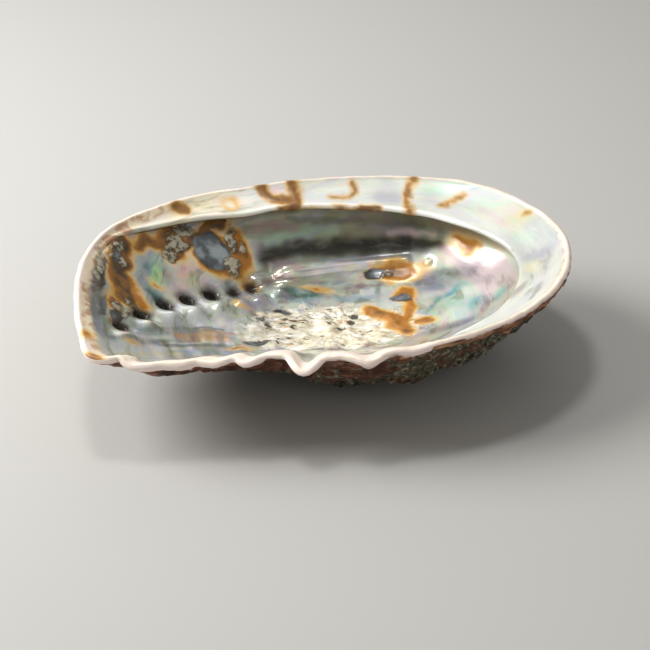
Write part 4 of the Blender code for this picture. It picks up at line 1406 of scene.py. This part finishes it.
    rough = g.most(g.times(scar, 0.62), g.times(crust, 0.75))
    matt = g.most(rough, g.times(tan, 0.8))
    matt = g.most(matt, g.times(stained, 0.9))
    matt = g.most(matt, g.times(shelf, 0.75))
    dull = g.most(g.most(rough, tan), g.times(stained, 0.85))
    shine = g.rest(matt)
    polish = g.blend(g.noise(place, 5.0), 0.17, 0.28)
    roughness = g.most(g.blend(rough, polish, 0.85), g.times(tan, 0.42))
    roughness = g.most(roughness, g.times(shelf, 0.40))
    ridged = g.math("MULTIPLY_ADD", g.most(lip, tan), 0.25, 0.03)
    normal = g.bump(g.times(grit, g.most(rough, ridged)), 0.6, 0.0006)
    normal = g.bump(streak, 0.08, 0.0006, normal)
    return g.finish(
        Base_Color=base, Roughness=roughness, Metallic=g.times(shine, 0.5),
        Coat_Weight=g.times(g.rest(dull), 0.4),
        Coat_Roughness=0.10, Normal=normal,
    )


def rough_back(finish):
    """The outside: red-brown layers behind the lip, pale growth bands and grey-green crust."""
    g = Nodes("rough_back")
    place = g.place()
    stream = g.add("ShaderNodeAttribute", attribute_name="stream").outputs["Vector"]
    wobble = g.math("SUBTRACT", g.noise(place, 3.0, 5.0), 0.5)
    gap = g.frayed("rim_gap", wobble, 3.0)
    grown = g.math("MULTIPLY_ADD", g.noise(place, 12.0, 2.0), 1.2, g.times(g.field("growth"), 0.16))
    band = g.math("FRACT", grown)
    layers = g.ramp(band, (
        (0.0, finish.bark), (0.10, finish.brick), (0.60, finish.brick), (0.82, finish.shell_pink),
        (0.97, finish.brick),
    ))
    lines = g.noise(stream, 1.6, 5.0, 0.3)
    layers = g.mix(g.step(lines, 0.50, 0.38, 0.0, 0.75), layers, finish.bark)
    layers = g.mix(g.step(lines, 0.54, 0.64, 0.0, 0.5), layers, finish.shell_pink)
    layers = g.mix(g.step(g.noise(place, 6.0, 5.0), 0.50, 0.62, 0.0, 0.6), layers, finish.bark)
    lichen = g.frayed("lichen", wobble, 1.8)
    covered = g.times(g.step(lichen, 0.24, 0.56), g.step(gap, 4.0, 8.0))
    crust = g.ramp(g.noise(place, 2.0, 6.0), (
        (0.36, finish.bark), (0.45, finish.moss), (0.54, finish.moss), (0.60, finish.ash),
    ))
    crust = g.mix(g.step(g.noise(place, 9.0, 3.0), 0.50, 0.62, 0.0, 0.5), crust, finish.brick)
    base = g.mix(covered, layers, crust)
    tan = g.step(g.frayed("tan", wobble, 4.0), -0.8, 0.8)
    base = g.mix(tan, base, g.mix(g.step(lines, 0.40, 0.60), finish.brick, finish.tan))
    lip = g.step(g.frayed("lip", wobble, 3.0), -0.5, 0.5)
    base = g.mix(lip, base, finish.lip)
    # Painted shade round the holes on the outside, dark as the inside of a hole
    base = g.mix(g.step(g.field("hole"), -0.8, 1.2), base, finish.deep_shade_and_stain_core)
    grit = g.math("ADD", g.noise(place, 1.1, 6.0), g.times(g.cells(place, 2.2), 0.5))
    grit = g.math("MULTIPLY_ADD", lines, 1.2, grit)
    normal = g.bump(g.times(grit, g.step(g.field("lip"), 0.5, -1.0, 0.1, 1.0)), 0.8, 0.0008)
    return g.finish(
        Base_Color=base, Roughness=g.blend(covered, 0.62, 0.9), Normal=normal,
        Specular_IOR_Level=0.35,
    )


def hole_wall(finish):
    """The walls of the open holes, painted dark as shade and mottled."""
    g = Nodes("hole_wall")
    place = g.place()
    # Painted shade: the walls are dark throughout, and a noise only mottles them between two dark
    # colours
    worn = g.noise(place, 1.2, 4.0)
    base = g.mix(g.step(worn, 0.40, 0.66), finish.deep_shade_and_stain_core, finish.smoke)
    return g.finish(Base_Color=base, Roughness=0.55, Normal=g.bump(worn, 0.5, 0.0005))


class ABALONE_OT_add_shell(Operator):
    """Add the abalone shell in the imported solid's place"""

    bl_idname = "abalone.add_shell"
    bl_label = "Shell"

    def execute(self, context):
        sizes = context.scene.abalone_sizes
        finish = context.scene.abalone_finish
        size = SimpleNamespace(columns=sizes.columns)
        for name in AbaloneSizes.__annotations__:
            if name not in ("columns", "length"):
                setattr(size, name, getattr(sizes, name) / MM)
        points, crest, fullness = surface_rows(size)
        fields, on_shelf, stream = paint_fields(points, crest, fullness)
        tint = pearl_tint(points, on_shelf, finish)
        lift = fine_relief(points, fields, stream, crest)
        points = points + out_of_surface(points) * lift[..., None]
        points[0] = points[0].mean(axis=0)
        points[-1] = points[-1].mean(axis=0)
        points[..., 2] = np.maximum(points[..., 2], 0.0)
        low = points.min(axis=(0, 1))
        high = points.max(axis=(0, 1))
        shift = np.array(((low[0] + high[0]) / 2, (low[1] + high[1]) / 2, 0.0))
        points = points - shift
        shell = add_ball(points)
        cut_holes(shell, size, shift)
        write_fields(shell, size, shift, points, fields, stream, tint)
        stretch = sizes.length / ((high[0] - low[0]) * MM)
        if abs(stretch - 1.0) > LEAST_STRETCH:
            for vertex in shell.data.vertices:
                vertex.co *= stretch
        shell.data.materials.append(mother_of_pearl(finish))
        shell.data.materials.append(rough_back(finish))
        shell.data.materials.append(hole_wall(finish))
        shell.data.shade_smooth()
        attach(shell, "root")
        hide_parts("shell")
        return {"FINISHED"}


class ABALONE_OT_add_studio(Operator):
    """Add the pale floor, the soft lights and the camera"""

    bl_idname = "abalone.add_studio"
    bl_label = "Studio"

    def execute(self, context):
        studio = context.scene.abalone_studio
        add_floor(studio)
        add_lights(studio)
        add_camera(studio)
        context.scene.view_settings.view_transform = "Standard"
        return {"FINISHED"}


def add_floor(studio):
    """A plain floor, a hair below the shell."""
    deselect_all()
    bpy.ops.mesh.primitive_plane_add(size=FLOOR_SIZE, location=(0.0, 0.0, -FLOOR_GAP))
    floor = bpy.context.object
    floor.name = "floor"
    g = Nodes("pale_floor")
    cloud = g.noise(g.place(), FLOOR_CLOUD, 3.0)
    colour = g.mix(g.times(cloud, FLOOR_CLOUD_SHARE), tuple(studio.floor), FLOOR_GREY)
    floor.data.materials.append(g.finish(Base_Color=colour, Roughness=0.7))


def add_softbox(name, place, width, power):
    """A round soft light that faces the shell."""
    light = bpy.data.lights.new(name, "AREA")
    light.shape = "DISK"
    light.size = width
    light.energy = power
    lamp = bpy.data.objects.new(name, light)
    bpy.context.scene.collection.objects.link(lamp)
    lamp.location = place
    lamp.rotation_euler = (Vector(place) - Vector(LIGHT_AIM)).to_track_quat("Z", "Y").to_euler()


def add_lights(studio):
    """The softboxes, and the even light of the room."""
    for name, place, width in SOFTBOXES:
        add_softbox(name, place, width, getattr(studio, f"{name}_power"))
    world = bpy.data.worlds.new("studio")
    bpy.context.scene.world = world
    world.use_nodes = True
    background = world.node_tree.nodes["Background"]
    background.inputs["Color"].default_value = ROOM_COLOUR
    background.inputs["Strength"].default_value = studio.surroundings


def add_camera(studio):
    """The camera at the photograph's angle."""
    camera = bpy.data.cameras.new("camera")
    camera.sensor_width = SENSOR_WIDTH
    camera.lens = camera.sensor_width * studio.distance / studio.view_width
    holder = bpy.data.objects.new("camera", camera)
    bpy.context.scene.collection.objects.link(holder)
    back = Vector((0.0, -math.cos(studio.elevation), math.sin(studio.elevation)))
    holder.location = Vector(studio.aim) + back * studio.distance
    holder.rotation_euler = back.to_track_quat("Z", "Y").to_euler()
    bpy.context.scene.camera = holder


class ABALONE_PT_panel(Panel):
    """The shell's and the studio's settings, and the buttons that add them"""

    bl_idname = "ABALONE_PT_panel"
    bl_label = "Abalone Shell"
    bl_space_type = "VIEW_3D"
    bl_region_type = "UI"
    bl_category = "Abalone"

    def draw(self, context):
        scene = context.scene
        for group in (scene.abalone_sizes, scene.abalone_finish, scene.abalone_studio):
            box = self.layout.box()
            for name in type(group).__annotations__:
                box.prop(group, name)
        self.layout.operator(ABALONE_OT_add_shell.bl_idname)
        self.layout.operator(ABALONE_OT_add_studio.bl_idname)


CLASSES = (
    AbaloneSizes, AbaloneFinish, AbaloneStudio, ABALONE_OT_add_shell, ABALONE_OT_add_studio,
    ABALONE_PT_panel,
)


def register():
    for entry in CLASSES:
        bpy.utils.register_class(entry)
    bpy.types.Scene.abalone_sizes = PointerProperty(type=AbaloneSizes)
    bpy.types.Scene.abalone_finish = PointerProperty(type=AbaloneFinish)
    bpy.types.Scene.abalone_studio = PointerProperty(type=AbaloneStudio)


def unregister():
    del bpy.types.Scene.abalone_studio
    del bpy.types.Scene.abalone_finish
    del bpy.types.Scene.abalone_sizes
    for entry in reversed(CLASSES):
        bpy.utils.unregister_class(entry)


def main():
    register()
    bpy.ops.abalone.add_shell()
    bpy.ops.abalone.add_studio()


if __name__ == "__main__":
    main()
